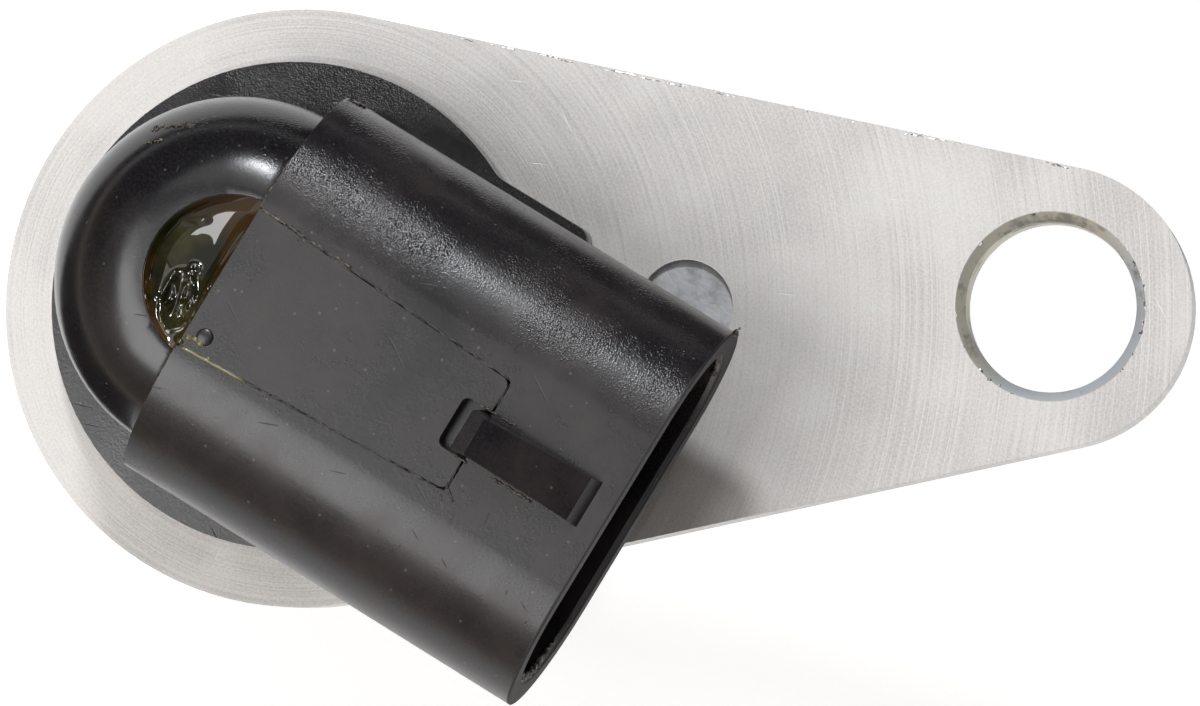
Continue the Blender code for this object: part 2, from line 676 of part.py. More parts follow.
def terminal_outline(y):
    tip = MOUTH - BLADE_RECESS
    shoulder_front = CHAMBER_FRONT - FIT_GAP - (CARRIER_LENGTH - SHOULDER_LENGTH) / 2
    shoulder_back = shoulder_front - SHOULDER_LENGTH
    tail = SEAM - TAIL_REACH
    half = [
        (tip, BLADE_WIDTH / 2 - BLADE_TIP_CHAMFER),
        (tip - BLADE_TIP_CHAMFER * 2, BLADE_WIDTH / 2),
        (shoulder_front, BLADE_WIDTH / 2),
        (shoulder_front, SHOULDER_WIDTH / 2),
        (shoulder_back, SHOULDER_WIDTH / 2),
        (shoulder_back, TAIL_WIDTH / 2),
        (tail, TAIL_WIDTH / 2),
    ]
    return [(x, y + v) for x, v in half] + [(x, y - v) for x, v in reversed(half)]


def make_terminal(name, side):
    low = SHROUD_MIDDLE - BLADE_THICKNESS / 2
    outline = terminal_outline(side * TERMINAL_Y)
    terminal = lying_flat(name, outline, low, low + BLADE_THICKNESS)
    return finish(terminal, name, (0.78, 0.76, 0.7), 0.25, 1.0)


def make_carrier():
    """The block in the shroud's chamber that the two terminals are locked in."""
    front = CHAMBER_FRONT - FIT_GAP
    back = front - CARRIER_LENGTH
    outline = stadium(CHAMBER_HALF_WIDTH - FIT_GAP, CHAMBER_HALF_HEIGHT - FIT_GAP, SHROUD_MIDDLE)
    carrier = along_connector("terminal_carrier", outline, back, front)
    shoulder_back = front - (CARRIER_LENGTH + SHOULDER_LENGTH) / 2
    for side in (1, -1):
        through = blade_slot(f"blade_slot_{side:+d}", side, BLADE_WIDTH, back - OVERCUT, front + OVERCUT)
        lock = blade_slot(
            f"shoulder_slot_{side:+d}",
            side,
            SHOULDER_WIDTH,
            shoulder_back - FIT_GAP,
            shoulder_back + SHOULDER_LENGTH + FIT_GAP,
        )
        cut(carrier, through, lock)
    return finish(carrier, "terminal_carrier", (0.05, 0.05, 0.055), 0.45)


def make_coil_stack():
    """Pole piece, bobbin, winding and tape at the sensing face, then magnet, disc and retainer above."""
    foot = TIP_WALL + STACK_GAP
    bobbin_top = foot + BOBBIN_LENGTH
    flange = BORE_RADIUS - STACK_GAP
    tape_outer = flange - TAPE_INSET_SHARE * BORE_RADIUS
    tape_inner = tape_outer - TAPE_THICKNESS
    winding_outer = tape_inner - FIT_GAP
    winding_inner = winding_outer - WINDING_SHARE * BORE_RADIUS
    tube_outer = winding_inner - FIT_GAP
    tube_inner = tube_outer - BOBBIN_TUBE_SHARE * BORE_RADIUS
    pole_radius = tube_inner - STACK_GAP
    pole_head_radius = flange - POLE_HEAD_INSET
    low_flange_top = foot + BOBBIN_FLANGE_THICKNESS
    high_flange_bottom = bobbin_top - BOBBIN_FLANGE_THICKNESS

    head_bottom = bobbin_top + STACK_GAP
    head_top = head_bottom + POLE_HEAD_THICKNESS
    pole_profile = [
        (0, head_top),
        (pole_head_radius, head_top),
        (pole_head_radius, head_bottom),
        (pole_radius, head_bottom),
        (pole_radius, foot),
        (0, foot),
    ]
    finish(turned("pole_piece", pole_profile, SMALL_STEPS), "pole_piece", (0.5, 0.5, 0.5), 0.35, 1.0)

    bobbin_profile = [
        (tube_inner, bobbin_top),
        (flange, bobbin_top),
        (flange, high_flange_bottom),
        (tube_outer, high_flange_bottom),
        (tube_outer, low_flange_top),
        (flange, low_flange_top),
        (flange, foot),
        (tube_inner, foot),
    ]
    bobbin = turned("coil_bobbin", bobbin_profile, SMALL_STEPS, closed=True)
    notch_inner = tape_outer + FIT_GAP
    for side in (1, -1):
        notch = box(
            f"lead_notch_{side:+d}",
            (notch_inner, -CHANNEL_WIDTH / 2, high_flange_bottom - EMBED),
            (flange + OVERCUT, CHANNEL_WIDTH / 2, bobbin_top + EMBED),
        )
        notch.rotation_euler = (0, 0, side * LEAD_ANGLE)
        cut(bobbin, notch)
    finish(bobbin, "coil_bobbin", (0.75, 0.72, 0.62), 0.5)

    winding_low = low_flange_top + FIT_GAP
    winding_high = high_flange_bottom - FIT_GAP
    winding = ring("coil_winding", winding_inner, winding_outer, winding_low, winding_high, SMALL_STEPS)
    finish(winding, "coil_winding", (0.55, 0.2, 0.08), 0.35, 1.0)
    tape = ring("winding_tape", tape_inner, tape_outer, winding_low, winding_high, SMALL_STEPS)
    finish(tape, "winding_tape", (0.75, 0.6, 0.15), 0.4)

    core = BORE_RADIUS - STACK_GAP - FIT_GAP
    magnet_low = head_top + STACK_GAP
    magnet_high = magnet_low + MAGNET_LENGTH
    magnet = rod("magnet", core, magnet_low, magnet_high, steps=SMALL_STEPS)
    finish(magnet, "magnet", (0.3, 0.3, 0.31), 0.4, 1.0)
    disc_low = magnet_high + STACK_GAP
    disc_high = disc_low + DISC_THICKNESS
    disc = rod("backing_disc", core, disc_low, disc_high, steps=SMALL_STEPS)
    finish(disc, "backing_disc", (0.45, 0.45, 0.46), 0.35, 1.0)

    low = disc_high + STACK_GAP
    high = low + RETAINER_LENGTH
    cup = core - RETAINER_WALL
    retainer_profile = [
        (0, low + RETAINER_BASE),
        (cup, low + RETAINER_BASE),
        (cup, high),
        (core, high),
        (core, low),
        (0, low),
    ]
    retainer = turned("stack_retainer", retainer_profile, SMALL_STEPS)
    finish(retainer, "stack_retainer", (0.08, 0.08, 0.085), 0.5)


def lead_route(side):
    """A lead from beside the winding, up its channel and over to the top of its terminal's tail."""
    around = side * LEAD_ANGLE
    climb = Vector((math.cos(around), math.sin(around), 0))
    bobbin_top = TIP_WALL + STACK_GAP + BOBBIN_LENGTH
    beside_tape = BORE_RADIUS - STACK_GAP + LEAD_RADIUS * 0.4
    on_tail = SHROUD_MIDDLE + BLADE_THICKNESS / 2 + FIT_GAP + LEAD_RADIUS
    tail_y = side * TERMINAL_Y
    points = [
        climb * beside_tape + Vector((0, 0, bobbin_top - LEAD_FOOT_DEPTH)),
        climb * beside_tape + Vector((0, 0, bobbin_top - LEAD_FOOT_DEPTH / 4)),
        climb * LEAD_RING_RADIUS + Vector((0, 0, bobbin_top + 2 * LEAD_RADIUS)),
        climb * LEAD_RING_RADIUS + Vector((0, 0, PEDESTAL_TOP)),
    ]
    top_of_climb = climb * LEAD_RING_RADIUS + Vector((0, 0, on_tail - 6 * LEAD_RADIUS))
    landing = Vector((SEAM - TAIL_REACH + LEAD_RADIUS, tail_y, on_tail))
    over = Vector((top_of_climb.x, top_of_climb.y, on_tail))
    for step in range(ARC_STEPS // 2 + 1):
        share = step / (ARC_STEPS // 2)
        points.append(top_of_climb.lerp(over, share).lerp(over.lerp(landing, share), share))
    points.append(Vector((SEAM, tail_y, on_tail)))
    return points


def make_lead(name, side):
    curve = bpy.data.curves.new(name, "CURVE")
    curve.dimensions = "3D"
    curve.bevel_depth = LEAD_RADIUS
    curve.bevel_resolution = 2
    curve.use_fill_caps = True
    route = lead_route(side)
    spline = curve.splines.new("POLY")
    spline.points.add(len(route) - 1)
    for point, place in zip(spline.points, route):
        point.co = (*place, 1)
    lead = bpy.data.objects.new(name, curve)
    PART.objects.link(lead)
    return finish(lead, name, (0.6, 0.08, 0.04), 0.4)


def make_solder(name, side):
    """The solder that joins a lead's bared end to the terminal's tail."""
    bm = bmesh.new()
    bmesh.ops.create_uvsphere(bm, u_segments=16, v_segments=10, radius=SOLDER_RADIUS)
    bmesh.ops.scale(bm, vec=(1, 1, SOLDER_HEIGHT / SOLDER_RADIUS), verts=bm.verts)
    sliced = bmesh.ops.bisect_plane(
        bm, geom=bm.verts[:] + bm.edges[:] + bm.faces[:], plane_co=(0, 0, 0), plane_no=(0, 0, -1), clear_outer=True
    )
    rim = [part for part in sliced["geom_cut"] if isinstance(part, bmesh.types.BMEdge)]
    bmesh.ops.contextual_create(bm, geom=rim)
    seat = SHROUD_MIDDLE + BLADE_THICKNESS / 2 + FIT_GAP
    beside = SEAM + FIT_GAP + SOLDER_RADIUS
    bmesh.ops.translate(bm, vec=(beside, side * TERMINAL_Y, seat), verts=bm.verts)
    solder = object_from_bmesh(bm, name)
    return finish(solder, name, (0.6, 0.6, 0.62), 0.3, 1.0)


clear_scene()
PART = new_collection("camshaft_position_sensor")
TOOLS = new_collection("cutters")

make_plate()
make_housing()
make_shroud()
make_cover()
make_resin()
make_seal()
make_carrier()
make_coil_stack()
for suffix, hand in (("left", 1), ("right", -1)):
    make_terminal(f"terminal_{suffix}", hand)
    make_lead(f"lead_wire_{suffix}", hand)
    make_solder(f"solder_joint_{suffix}", hand)
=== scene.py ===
import math
import random

import bmesh
import bpy
from mathutils import Matrix, Vector, noise


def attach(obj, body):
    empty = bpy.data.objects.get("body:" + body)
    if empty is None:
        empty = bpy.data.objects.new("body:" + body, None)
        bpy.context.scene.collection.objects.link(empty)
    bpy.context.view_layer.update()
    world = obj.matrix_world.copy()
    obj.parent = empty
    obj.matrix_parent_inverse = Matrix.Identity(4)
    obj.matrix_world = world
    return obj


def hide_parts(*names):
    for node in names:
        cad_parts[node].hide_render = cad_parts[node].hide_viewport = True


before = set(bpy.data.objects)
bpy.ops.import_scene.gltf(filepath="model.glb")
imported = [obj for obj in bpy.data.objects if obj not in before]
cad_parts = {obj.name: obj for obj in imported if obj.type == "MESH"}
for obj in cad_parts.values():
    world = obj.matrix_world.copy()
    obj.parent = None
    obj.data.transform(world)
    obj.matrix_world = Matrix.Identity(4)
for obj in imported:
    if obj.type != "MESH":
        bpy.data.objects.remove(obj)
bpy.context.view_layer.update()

# Housing: one moulding of black glass-filled polyester, from the barrel and the neck in the plate to the
# collar and the elbow. The polished mould leaves it glossy, and handling has scuffed the elbow. On its upper
# shoulder the fine scratches are lightened bluish, partly as painted glints.
MM = 0.001
JOINT = -1.07 * MM  # the plane in which the elbow meets the shroud
ROOF = 43.0 * MM
ELBOW_ROOF = 42.8 * MM
SAME_PLACE = 1e-6  # corners closer than this are one
FLAT_ANGLE = math.radians(0.3)  # faces that meet at less than this are one
SHARP_ANGLE = math.radians(28)  # edges that turn by more than this are rounded


def new_object(name, data):
    """A new object in the scene that shows the data."""
    thing = bpy.data.objects.new(name, data)
    bpy.context.scene.collection.objects.link(thing)
    return thing


def fine_copy(node, edge, segments=3):
    """A copy of a CAD node with its sharp edges rounded and its flats shaded flat, which stands in for it."""
    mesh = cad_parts[node].data.copy()
    mesh.name = "fine_" + node
    bm = bmesh.new()
    bm.from_mesh(mesh)
    bmesh.ops.remove_doubles(bm, verts=bm.verts, dist=SAME_PLACE)
    bmesh.ops.dissolve_limit(bm, angle_limit=FLAT_ANGLE, verts=bm.verts, edges=bm.edges)
    bm.to_mesh(mesh)
    bm.free()
    mesh.materials.clear()
    mesh.shade_smooth()
    piece = new_object("fine_" + node, mesh)
    bevel = piece.modifiers.new("edges", "BEVEL")
    bevel.width = edge
    bevel.segments = segments
    bevel.limit_method = "ANGLE"
    bevel.angle_limit = SHARP_ANGLE
    shading = piece.modifiers.new("shading", "WEIGHTED_NORMAL")
    shading.weight = 90
    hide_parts(node)
    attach(piece, "root")
    return piece


def node_maker(tree):
    """Gives a function that adds a node, then sets its inputs or links other nodes to them."""

    def add(kind, inputs=(), **settings):
        node = tree.nodes.new(kind)
        for name, value in settings.items():
            setattr(node, name, value)
        for name, value in dict(inputs).items():
            socket = node.inputs[name]
            if isinstance(value, bpy.types.NodeSocket):
                tree.links.new(value, socket)
            else:
                socket.default_value = value
        return node

    return add


def new_material(name):
    """A material with its shader and the function that adds nodes to it."""
    material = bpy.data.materials.new(name)
    material.use_nodes = True
    add = node_maker(material.node_tree)
    return material, material.node_tree.nodes["Principled BSDF"], add


def feed(socket, value):
    """Sets a shader's socket, or links a node's output to it."""
    if isinstance(value, bpy.types.NodeSocket):
        socket.id_data.links.new(value, socket)
    else:
        socket.default_value = value


def math_of(add, operation, *values):
    """The result of an operation on numbers."""
    return add("ShaderNodeMath", dict(enumerate(values)), operation=operation).outputs[0]


def vector_of(add, operation, *values):
    """The result of an operation on vectors, which is a number for a length, a distance or a dot product."""
    node = add("ShaderNodeVectorMath", dict(enumerate(values)), operation=operation)
    is_number = operation in ("LENGTH", "DISTANCE", "DOT_PRODUCT")
    return node.outputs["Value" if is_number else "Vector"]


def scaled(add, vector, factor):
    """The vector times a number."""
    return add("ShaderNodeVectorMath", {0: vector, "Scale": factor}, operation="SCALE").outputs[0]


def noise_of(add, place, scale, detail, roughness=0.5):
    """A noise about 0.5, whose scale is its number of waves in a metre."""
    inputs = {"Vector": place, "Scale": scale, "Detail": detail, "Roughness": roughness}
    return add("ShaderNodeTexNoise", inputs).outputs["Fac"]


def bumped(add, shader, height, distance, strength=1.0):
    """Gives the shader a relief that is so many metres deep for a height of one."""
    bump = add("ShaderNodeBump", {"Height": height, "Distance": distance, "Strength": strength})
    feed(shader.inputs["Normal"], bump.outputs["Normal"])


def fade(add, value, start, end, low=0.0, high=1.0):
    """A smooth change from low to high while the value goes from start to end."""
    inputs = {"Value": value, "From Min": start, "From Max": end, "To Min": low, "To Max": high}
    return add("ShaderNodeMapRange", inputs, interpolation_type="SMOOTHSTEP").outputs["Result"]


def blend(add, share, first, second):
    """A colour mixed from two, each a plain colour or another node's output."""
    mix = add("ShaderNodeMix", {"Factor": share}, data_type="RGBA")
    for socket, value in zip((mix.inputs[6], mix.inputs[7]), (first, second)):
        feed(socket, value if isinstance(value, bpy.types.NodeSocket) else (*value, 1))
    return mix.outputs[2]


def new_group(name, inputs, outputs):
    """An empty node group with its sockets, and the function that adds nodes to it."""
    group = bpy.data.node_groups.new(name, "ShaderNodeTree")
    for label, kind in inputs.items():
        group.interface.new_socket(label, in_out="INPUT", socket_type=kind)
    for label in outputs:
        group.interface.new_socket(label, in_out="OUTPUT", socket_type="NodeSocketFloat")
    return group, node_maker(group)


# The three families of scratches: the turn of each, and the length and width of the cells that hold one.
SCRATCHES = ((0.4, 7 * MM, 0.42 * MM), (1.7, 5 * MM, 0.36 * MM), (2.6, 9 * MM, 0.5 * MM))
SCRATCH_BEND = 0.4 * MM  # how far they stray from straight lines
SPECK_SPACING = 0.5 * MM


def scratch_marks():
    """Short fine scratches in three directions, and round specks, as two masks."""
    inputs = {"Place": "NodeSocketVector", "Spread": "NodeSocketFloat"}
    group, add = new_group("scratches_and_specks", inputs, ("Scratches", "Specks"))
    inside = add("NodeGroupInput")
    bend = add("ShaderNodeTexNoise", {"Vector": inside.outputs["Place"], "Scale": 260, "Detail": 1})
    centred = vector_of(add, "SUBTRACT", bend.outputs["Color"], (0.5, 0.5, 0.5))
    place = vector_of(add, "ADD", inside.outputs["Place"], scaled(add, centred, SCRATCH_BEND))
    scratches = 0.0
    for turn, length, width in SCRATCHES:
        along = add(
            "ShaderNodeMapping",
            {"Vector": place, "Rotation": (0, 0, turn), "Scale": (length, width, width)},
            vector_type="TEXTURE",
        )
        cells = add("ShaderNodeTexVoronoi", {"Vector": along.outputs[0], "Scale": 1})
        line = fade(add, cells.outputs["Distance"], 0.09, 0.03)
        chosen = math_of(add, "LESS_THAN", cells.outputs["Color"], inside.outputs["Spread"])
        scratches = math_of(add, "MAXIMUM", scratches, math_of(add, "MULTIPLY", line, chosen))
    cells = add("ShaderNodeTexVoronoi", {"Vector": place, "Scale": 1 / SPECK_SPACING})
    size = fade(add, cells.outputs["Color"], 0.35, 0.75, -0.02, 0.13)
    dot = math_of(add, "SUBTRACT", size, cells.outputs["Distance"])
    specks = math_of(add, "MULTIPLY", fade(add, dot, 0.0, 0.03), inside.outputs["Spread"])
    add("NodeGroupOutput", {"Scratches": scratches, "Specks": specks})
    return group


def moulding_marks():
    """The mottling that the melt's flow leaves on a moulding and the fine grain of its skin."""
    group, add = new_group("moulding_marks", {"Place": "NodeSocketVector"}, ("Mottle", "Grain", "Cloud"))
    place = add("NodeGroupInput").outputs["Place"]
    cloud = add("ShaderNodeTexNoise", {"Vector": place, "Scale": 210, "Detail": 3, "Distortion": 0.6})
    mottle = noise_of(add, place, 1100, 4, 0.6)
    grain = noise_of(add, place, 8500, 2, 0.6)
    clear_cloud = fade(add, cloud.outputs["Fac"], 0.25, 0.75)
    clear_mottle = fade(add, mottle, 0.2, 0.8)
    add("NodeGroupOutput", {"Mottle": clear_mottle, "Grain": grain, "Cloud": clear_cloud})
    return group


SCRATCH_MARKS = scratch_marks()
MOULDING_MARKS = moulding_marks()
GRAIN_COLOUR = (0.026, 0.023, 0.028)
# The light bluish colour of the fine scratches in the rubbed band: partly real pale scratches, partly painted
# glints of the hard lamp's streak.
HAIRLINE_GLINT_COLOUR = (0.3, 0.31, 0.35)
DUST_COLOUR = (0.24, 0.22, 0.2)
HAIRLINE_FINENESS = 1.7  # how much finer they are than other scratches
HAIRLINE_REACH = 1.6 * MM  # how far past the rubbed zone they fade out
MATT_GAIN = 0.45  # what a cut face adds to the roughness
LOW_ROUGHNESS = 0.1  # of the glossier low zone
CUT_EASE = 0.1 * MM  # the width over which a cut face turns matt
LOW_EASE = 0.5 * MM  # the height over which the low zone begins


def wear_marks(add, place, spread):
    """Scratches and specks at a place; the spread says how many there are."""
    marks = add("ShaderNodeGroup", {"Spread": spread}, node_tree=SCRATCH_MARKS)
    feed(marks.inputs["Place"], place)
    return marks.outputs["Scratches"], marks.outputs["Specks"]


def black_moulding(
    name, dark, warm, gloss, grain_depth, scuffs, rubbed_side, rub_depth, matt_from=1.0, glossy_below=-1.0
):
    """Black moulded plastic in two tones; gloss is its lowest roughness.

    It is rubbed from one distance aside to another, matt beyond a distance along the connector, and glossier
    below a height. In the rubbed band its fine scratches are lightened bluish: partly real pale scratches,
    partly painted glints of the lamp's streak.
    """
    material, shader, add = new_material(name)
    place = add("ShaderNodeTexCoord").outputs["Object"]
    axes = add("ShaderNodeSeparateXYZ", {0: place})
    marks = add("ShaderNodeGroup", node_tree=MOULDING_MARKS)
    feed(marks.inputs["Place"], place)
    scratches, specks = wear_marks(add, place, scuffs)
    fine_lines = wear_marks(add, scaled(add, place, HAIRLINE_FINENESS), 1.0)[0]
    aside = fade(add, axes.outputs["Y"], *rubbed_side)
    patch = fade(add, noise_of(add, place, 330, 2), 0.4, 0.6, 0.25)
    side = math_of(add, "MULTIPLY", aside, patch)

    fine = math_of(add, "MULTIPLY_ADD", marks.outputs["Mottle"], 0.55, 0.45)
    tone = math_of(add, "MULTIPLY", fine, marks.outputs["Cloud"])
    speckled = fade(add, marks.outputs["Grain"], 0.35, 0.75, 0.0, 0.45)
    body = blend(add, speckled, blend(add, tone, dark, warm), GRAIN_COLOUR)
    # The fine scratches in the rubbed band are lightened bluish: partly real pale scratches, partly painted
    # glints where the lamp's streak falls.
    rub_end = rubbed_side[1]
    before_end = fade(add, axes.outputs["Y"], rub_end + HAIRLINE_REACH, rub_end)
    glint_band = math_of(add, "MULTIPLY", side, before_end)
    hairline_glints = math_of(add, "MULTIPLY", math_of(add, "MULTIPLY", fine_lines, glint_band), 0.4)
    glint_lined = blend(add, hairline_glints, body, HAIRLINE_GLINT_COLOUR)
    dust = math_of(add, "MULTIPLY", specks, 0.4)
    feed(shader.inputs["Base Color"], blend(add, dust, glint_lined, DUST_COLOUR))

    uneven = math_of(add, "MULTIPLY_ADD", tone, 0.14, gloss)
    scratched = math_of(add, "MULTIPLY_ADD", scratches, 0.2, uneven)
    polished = math_of(add, "MULTIPLY_ADD", side, -0.05, scratched)
    cut_face = fade(add, axes.outputs["X"], matt_from, matt_from + CUT_EASE)
    matt = math_of(add, "MULTIPLY_ADD", cut_face, MATT_GAIN, polished)
    low = fade(add, axes.outputs["Z"], glossy_below + LOW_EASE, glossy_below)
    feed(shader.inputs["Roughness"], math_of(add, "MULTIPLY_ADD", low, LOW_ROUGHNESS - gloss, matt))

    facets = add("ShaderNodeTexVoronoi", {"Vector": place, "Scale": 14000}).outputs["Distance"]
    peaks = math_of(add, "POWER", facets, 3.0)
    sparkle = math_of(add, "MULTIPLY_ADD", fine_lines, 0.5, peaks)
    rubbed = math_of(add, "MULTIPLY", side, math_of(add, "MULTIPLY", sparkle, rub_depth))
    coarser = math_of(add, "MULTIPLY_ADD", side, 1.0, 1.0)
    grain = math_of(add, "MULTIPLY", marks.outputs["Grain"], math_of(add, "MULTIPLY", coarser, grain_depth))
    flow = math_of(add, "MULTIPLY_ADD", marks.outputs["Mottle"], 0.8, math_of(add, "ADD", grain, rubbed))
    cut = math_of(add, "MULTIPLY_ADD", scratches, -2.5, flow)
    bumped(add, shader, math_of(add, "MULTIPLY_ADD", specks, 2.0, cut), 0.001 * MM)
    return material


housing = fine_copy("sensor_housing", 0.1 * MM)
housing_black = black_moulding(
    "housing_plastic",
    dark=(0.0035, 0.003, 0.004),
    warm=(0.011, 0.0085, 0.008),
    gloss=0.17,
    grain_depth=1.8,
    scuffs=0.55,
    rubbed_side=(3.0 * MM, 6.0 * MM),
    rub_depth=7.0,
    glossy_below=33.0 * MM,
)
housing.data.materials.append(housing_black)

# Shroud: the connector's socket, moulded in the same polyester and laser-welded to the elbow. Its flats show
# the flow of the melt, and the upper shoulder is rubbed, so that it breaks a hard light into specks. Its fine
# scratches there are lightened bluish in colour, partly as painted glints.
MOUTH = 17.3 * MM
SHOULDER_MIDDLE = 38.6 * MM
SHOULDER_FLAT = 4.29 * MM
SHOULDER_RADIUS = 4.4 * MM
SHOULDER_EASE = 0.85 * MM  # the real top corners start this much earlier than a plain half circle
OUTER_SHARE = 0.87  # beyond this share of the radius lies the outer skin, and not the socket's wall
shroud = fine_copy("connector_shroud", 0.06 * MM)
for vert in shroud.data.vertices:
    aside, lift = abs(vert.co.y) - SHOULDER_FLAT, vert.co.z - SHOULDER_MIDDLE
    reach = math.hypot(aside, lift)
    if lift > 0 and aside > -0.01 * MM and reach > OUTER_SHARE * SHOULDER_RADIUS:
        eased = abs(vert.co.y) - SHOULDER_EASE * (1 - max(aside, 0) / reach)
        vert.co.y = math.copysign(eased, vert.co.y)
shroud_black = black_moulding(
    "shroud_plastic",
    dark=(0.004, 0.0035, 0.0045),
    warm=(0.03, 0.022, 0.021),
    gloss=0.22,
    grain_depth=2.8,
    scuffs=0.7,
    rubbed_side=(3.2 * MM, 5.2 * MM),
    rub_depth=16.0,
    matt_from=MOUTH - 0.14 * MM,
)
shroud.data.materials.append(shroud_black)

# Cover: a thin trapezoid of the same plastic that closes the welding window in the shroud's roof. It lies
# flush in its pocket with a hairline joint all round.
cover = fine_copy("cavity_cover", 0.02 * MM, 2)
cover_black = black_moulding(
    "cover_plastic",
    dark=(0.005, 0.0045, 0.0055),
    warm=(0.034, 0.025, 0.024),
    gloss=0.23,
    grain_depth=2.8,
    scuffs=0.65,
    rubbed_side=(2.4 * MM, 4.5 * MM),
    rub_depth=14.0,
)
cover.data.materials.append(cover_black)

# Plate: a flange stamped from aluminium sheet and faced on a lathe about the barrel's axis, so fine turning
# marks run round it. It is bare, with light scratches, and the stamped pit's floor stays dull. The bolt
# hole's chamfer is painted darker and warmer on its -x side: painted shade.
PIT_CENTRE = Vector((13.82, 8.39, 30.0)) * MM
PIT_RADIUS = 1.96 * MM
END_RADIUS = 12.43 * MM
EAR_RADIUS = 5.8 * MM
EAR_REACH = 31.2 * MM
EAR_ANGLE = math.radians(31.25)
BOLT_HOLE_CENTRE = Vector((math.cos(EAR_ANGLE), math.sin(EAR_ANGLE), 0)) * EAR_REACH
CHAMFER_RADIUS = 3.88 * MM
PLATE_TOP = 30.0 * MM
# The side of the bolt hole's chamfer that is painted darker and warmer: painted shade with a warm cast.
CHAMFER_SHADE_SIDE = Vector((-0.97, 0.24, 0))  # the side of the bolt hole's chamfer that is darker and warmer
TURNING_MARKS = ((0.07 * MM, 1.0), (0.19 * MM, 0.8), (2.2 * MM, 0.4))  # their pitches and depths
plate = fine_copy("mounting_plate", 0.07 * MM, 2)


def faced_aluminium():
    """Turned aluminium with rings round the barrel's axis, a duller pit floor and a smeared chamfer that has
    painted shade on one side.
    """
    material, shader, add = new_material("plate_aluminium")
    place = add("ShaderNodeTexCoord").outputs["Object"]
    flat = add("ShaderNodeMapping", {"Vector": place, "Scale": (1, 1, 0)}).outputs[0]
    radius = vector_of(add, "LENGTH", flat)
    marks = 0.0
    for pitch, depth in TURNING_MARKS:
        inputs = {"W": radius, "Scale": 1 / pitch, "Detail": 0}
        ring = add("ShaderNodeTexNoise", inputs, noise_dimensions="1D").outputs["Fac"]
        marks = math_of(add, "MULTIPLY_ADD", ring, depth, marks)
    strength = fade(add, noise_of(add, place, 150, 2), 0.35, 0.65, 0.5, 1.0)
    rings = math_of(add, "MULTIPLY", marks, strength)
    blotch = noise_of(add, place, 700, 3, 0.6)
    smear = noise_of(add, place, 420, 4, 0.7)
    sparkle = noise_of(add, place, 9500, 1)
    scratches = wear_marks(add, place, 0.45)[0]

    ringed_share = fade(add, rings, 0.35, 1.3, 0.0, 0.75)
    clean = blend(add, fade(add, blotch, 0.4, 0.62), (0.715, 0.685, 0.665), (0.75, 0.735, 0.715))
    ringed = blend(add, ringed_share, clean, (0.56, 0.54, 0.525))
    grainy = blend(add, fade(add, sparkle, 0.35, 0.65, 0.0, 0.3), ringed, (0.88, 0.87, 0.85))
    dusty = blend(add, math_of(add, "MULTIPLY", scratches, 0.7), grainy, (0.9, 0.9, 0.9))

    # The chamfer round the bolt hole: painted shade, darker and warmer towards its -x side, then smeared.
    from_hole = vector_of(add, "DISTANCE", flat, BOLT_HOLE_CENTRE)
    in_hole = fade(add, from_hole, CHAMFER_RADIUS, CHAMFER_RADIUS * 0.99)
    outwards = vector_of(add, "SUBTRACT", flat, BOLT_HOLE_CENTRE)
    round_hole = vector_of(add, "DOT_PRODUCT", outwards, CHAMFER_SHADE_SIDE)
    chamfer_shade_share = fade(add, round_hole, -2.0 * MM, 1.5 * MM)
    shade_painted_chamfer = blend(add, chamfer_shade_share, (0.64, 0.67, 0.71), (0.68, 0.65, 0.56))
    smeared = blend(add, fade(add, smear, 0.5, 0.62, 0.0, 0.7), shade_painted_chamfer, (0.26, 0.25, 0.24))
    cut_round = blend(add, in_hole, dusty, smeared)

    from_pit = vector_of(add, "DISTANCE", place, PIT_CENTRE)
    in_pit = fade(add, from_pit, PIT_RADIUS * 1.02, PIT_RADIUS * 0.98)
    pressed = blend(add, fade(add, smear, 0.42, 0.6), (0.76, 0.76, 0.775), (0.56, 0.555, 0.565))
    feed(shader.inputs["Base Color"], blend(add, in_pit, cut_round, pressed))
    shader.inputs["Metallic"].default_value = 1.0
    rough = math_of(add, "MULTIPLY_ADD", blotch, 0.14, 0.62)
    feed(shader.inputs["Roughness"], math_of(add, "MULTIPLY_ADD", in_pit, 0.12, rough))

    grit = math_of(add, "MULTIPLY", noise_of(add, place, 3200, 3), 8.0)
    pit_height = math_of(add, "MULTIPLY", in_pit, grit)
    worn = math_of(add, "MULTIPLY_ADD", scratches, -2.0, rings)
    bumped(add, shader, math_of(add, "ADD", worn, pit_height), 0.004 * MM)
    return material


plate_metal = faced_aluminium()
plate.data.materials.append(plate_metal)

# Potting resin: clear amber-green epoxy poured into the elbow through the D-shaped window. It crept up the
# window's wall as it set, and bubbles that burst near one end left nested rings in its glossy skin.
WINDOW_CENTRE = -0.6 * MM
RESIN_RADIUS = 3.47 * MM
RESIN_FRONT = JOINT - 0.02 * MM
RESIN_TOP = 42.78 * MM
RESIN_SAG = 0.72 * MM  # how far the middle lies below the rim
RESIN_REACH = 5.0 * MM**3  # how soon the skin levels out away from the walls
RESIN_TILT = 0.03  # it stands higher at the end where it ran over
RESIN_CUT = 41.5 * MM  # below it lies the plain body of the resin
# How soon the tilt, the bubbles and the ripple set in away from the walls.
TILT_EASE = 4 * MM**2
WALL_EASE = 2.5 * MM**2
FRONT_EASE = 0.5 * MM
UNEVEN_SIZE = 0.5 * MM  # of the patches in which a ridge is higher or lower
RIPPLE_SIZE = 0.9 * MM
RIPPLE_HEIGHT = 0.008 * MM
ACROSS_STEPS = 230
DEEP_STEPS = 110
RIDGE_WIDTH = 0.11  # of the ridge round a bubble, in millimetres
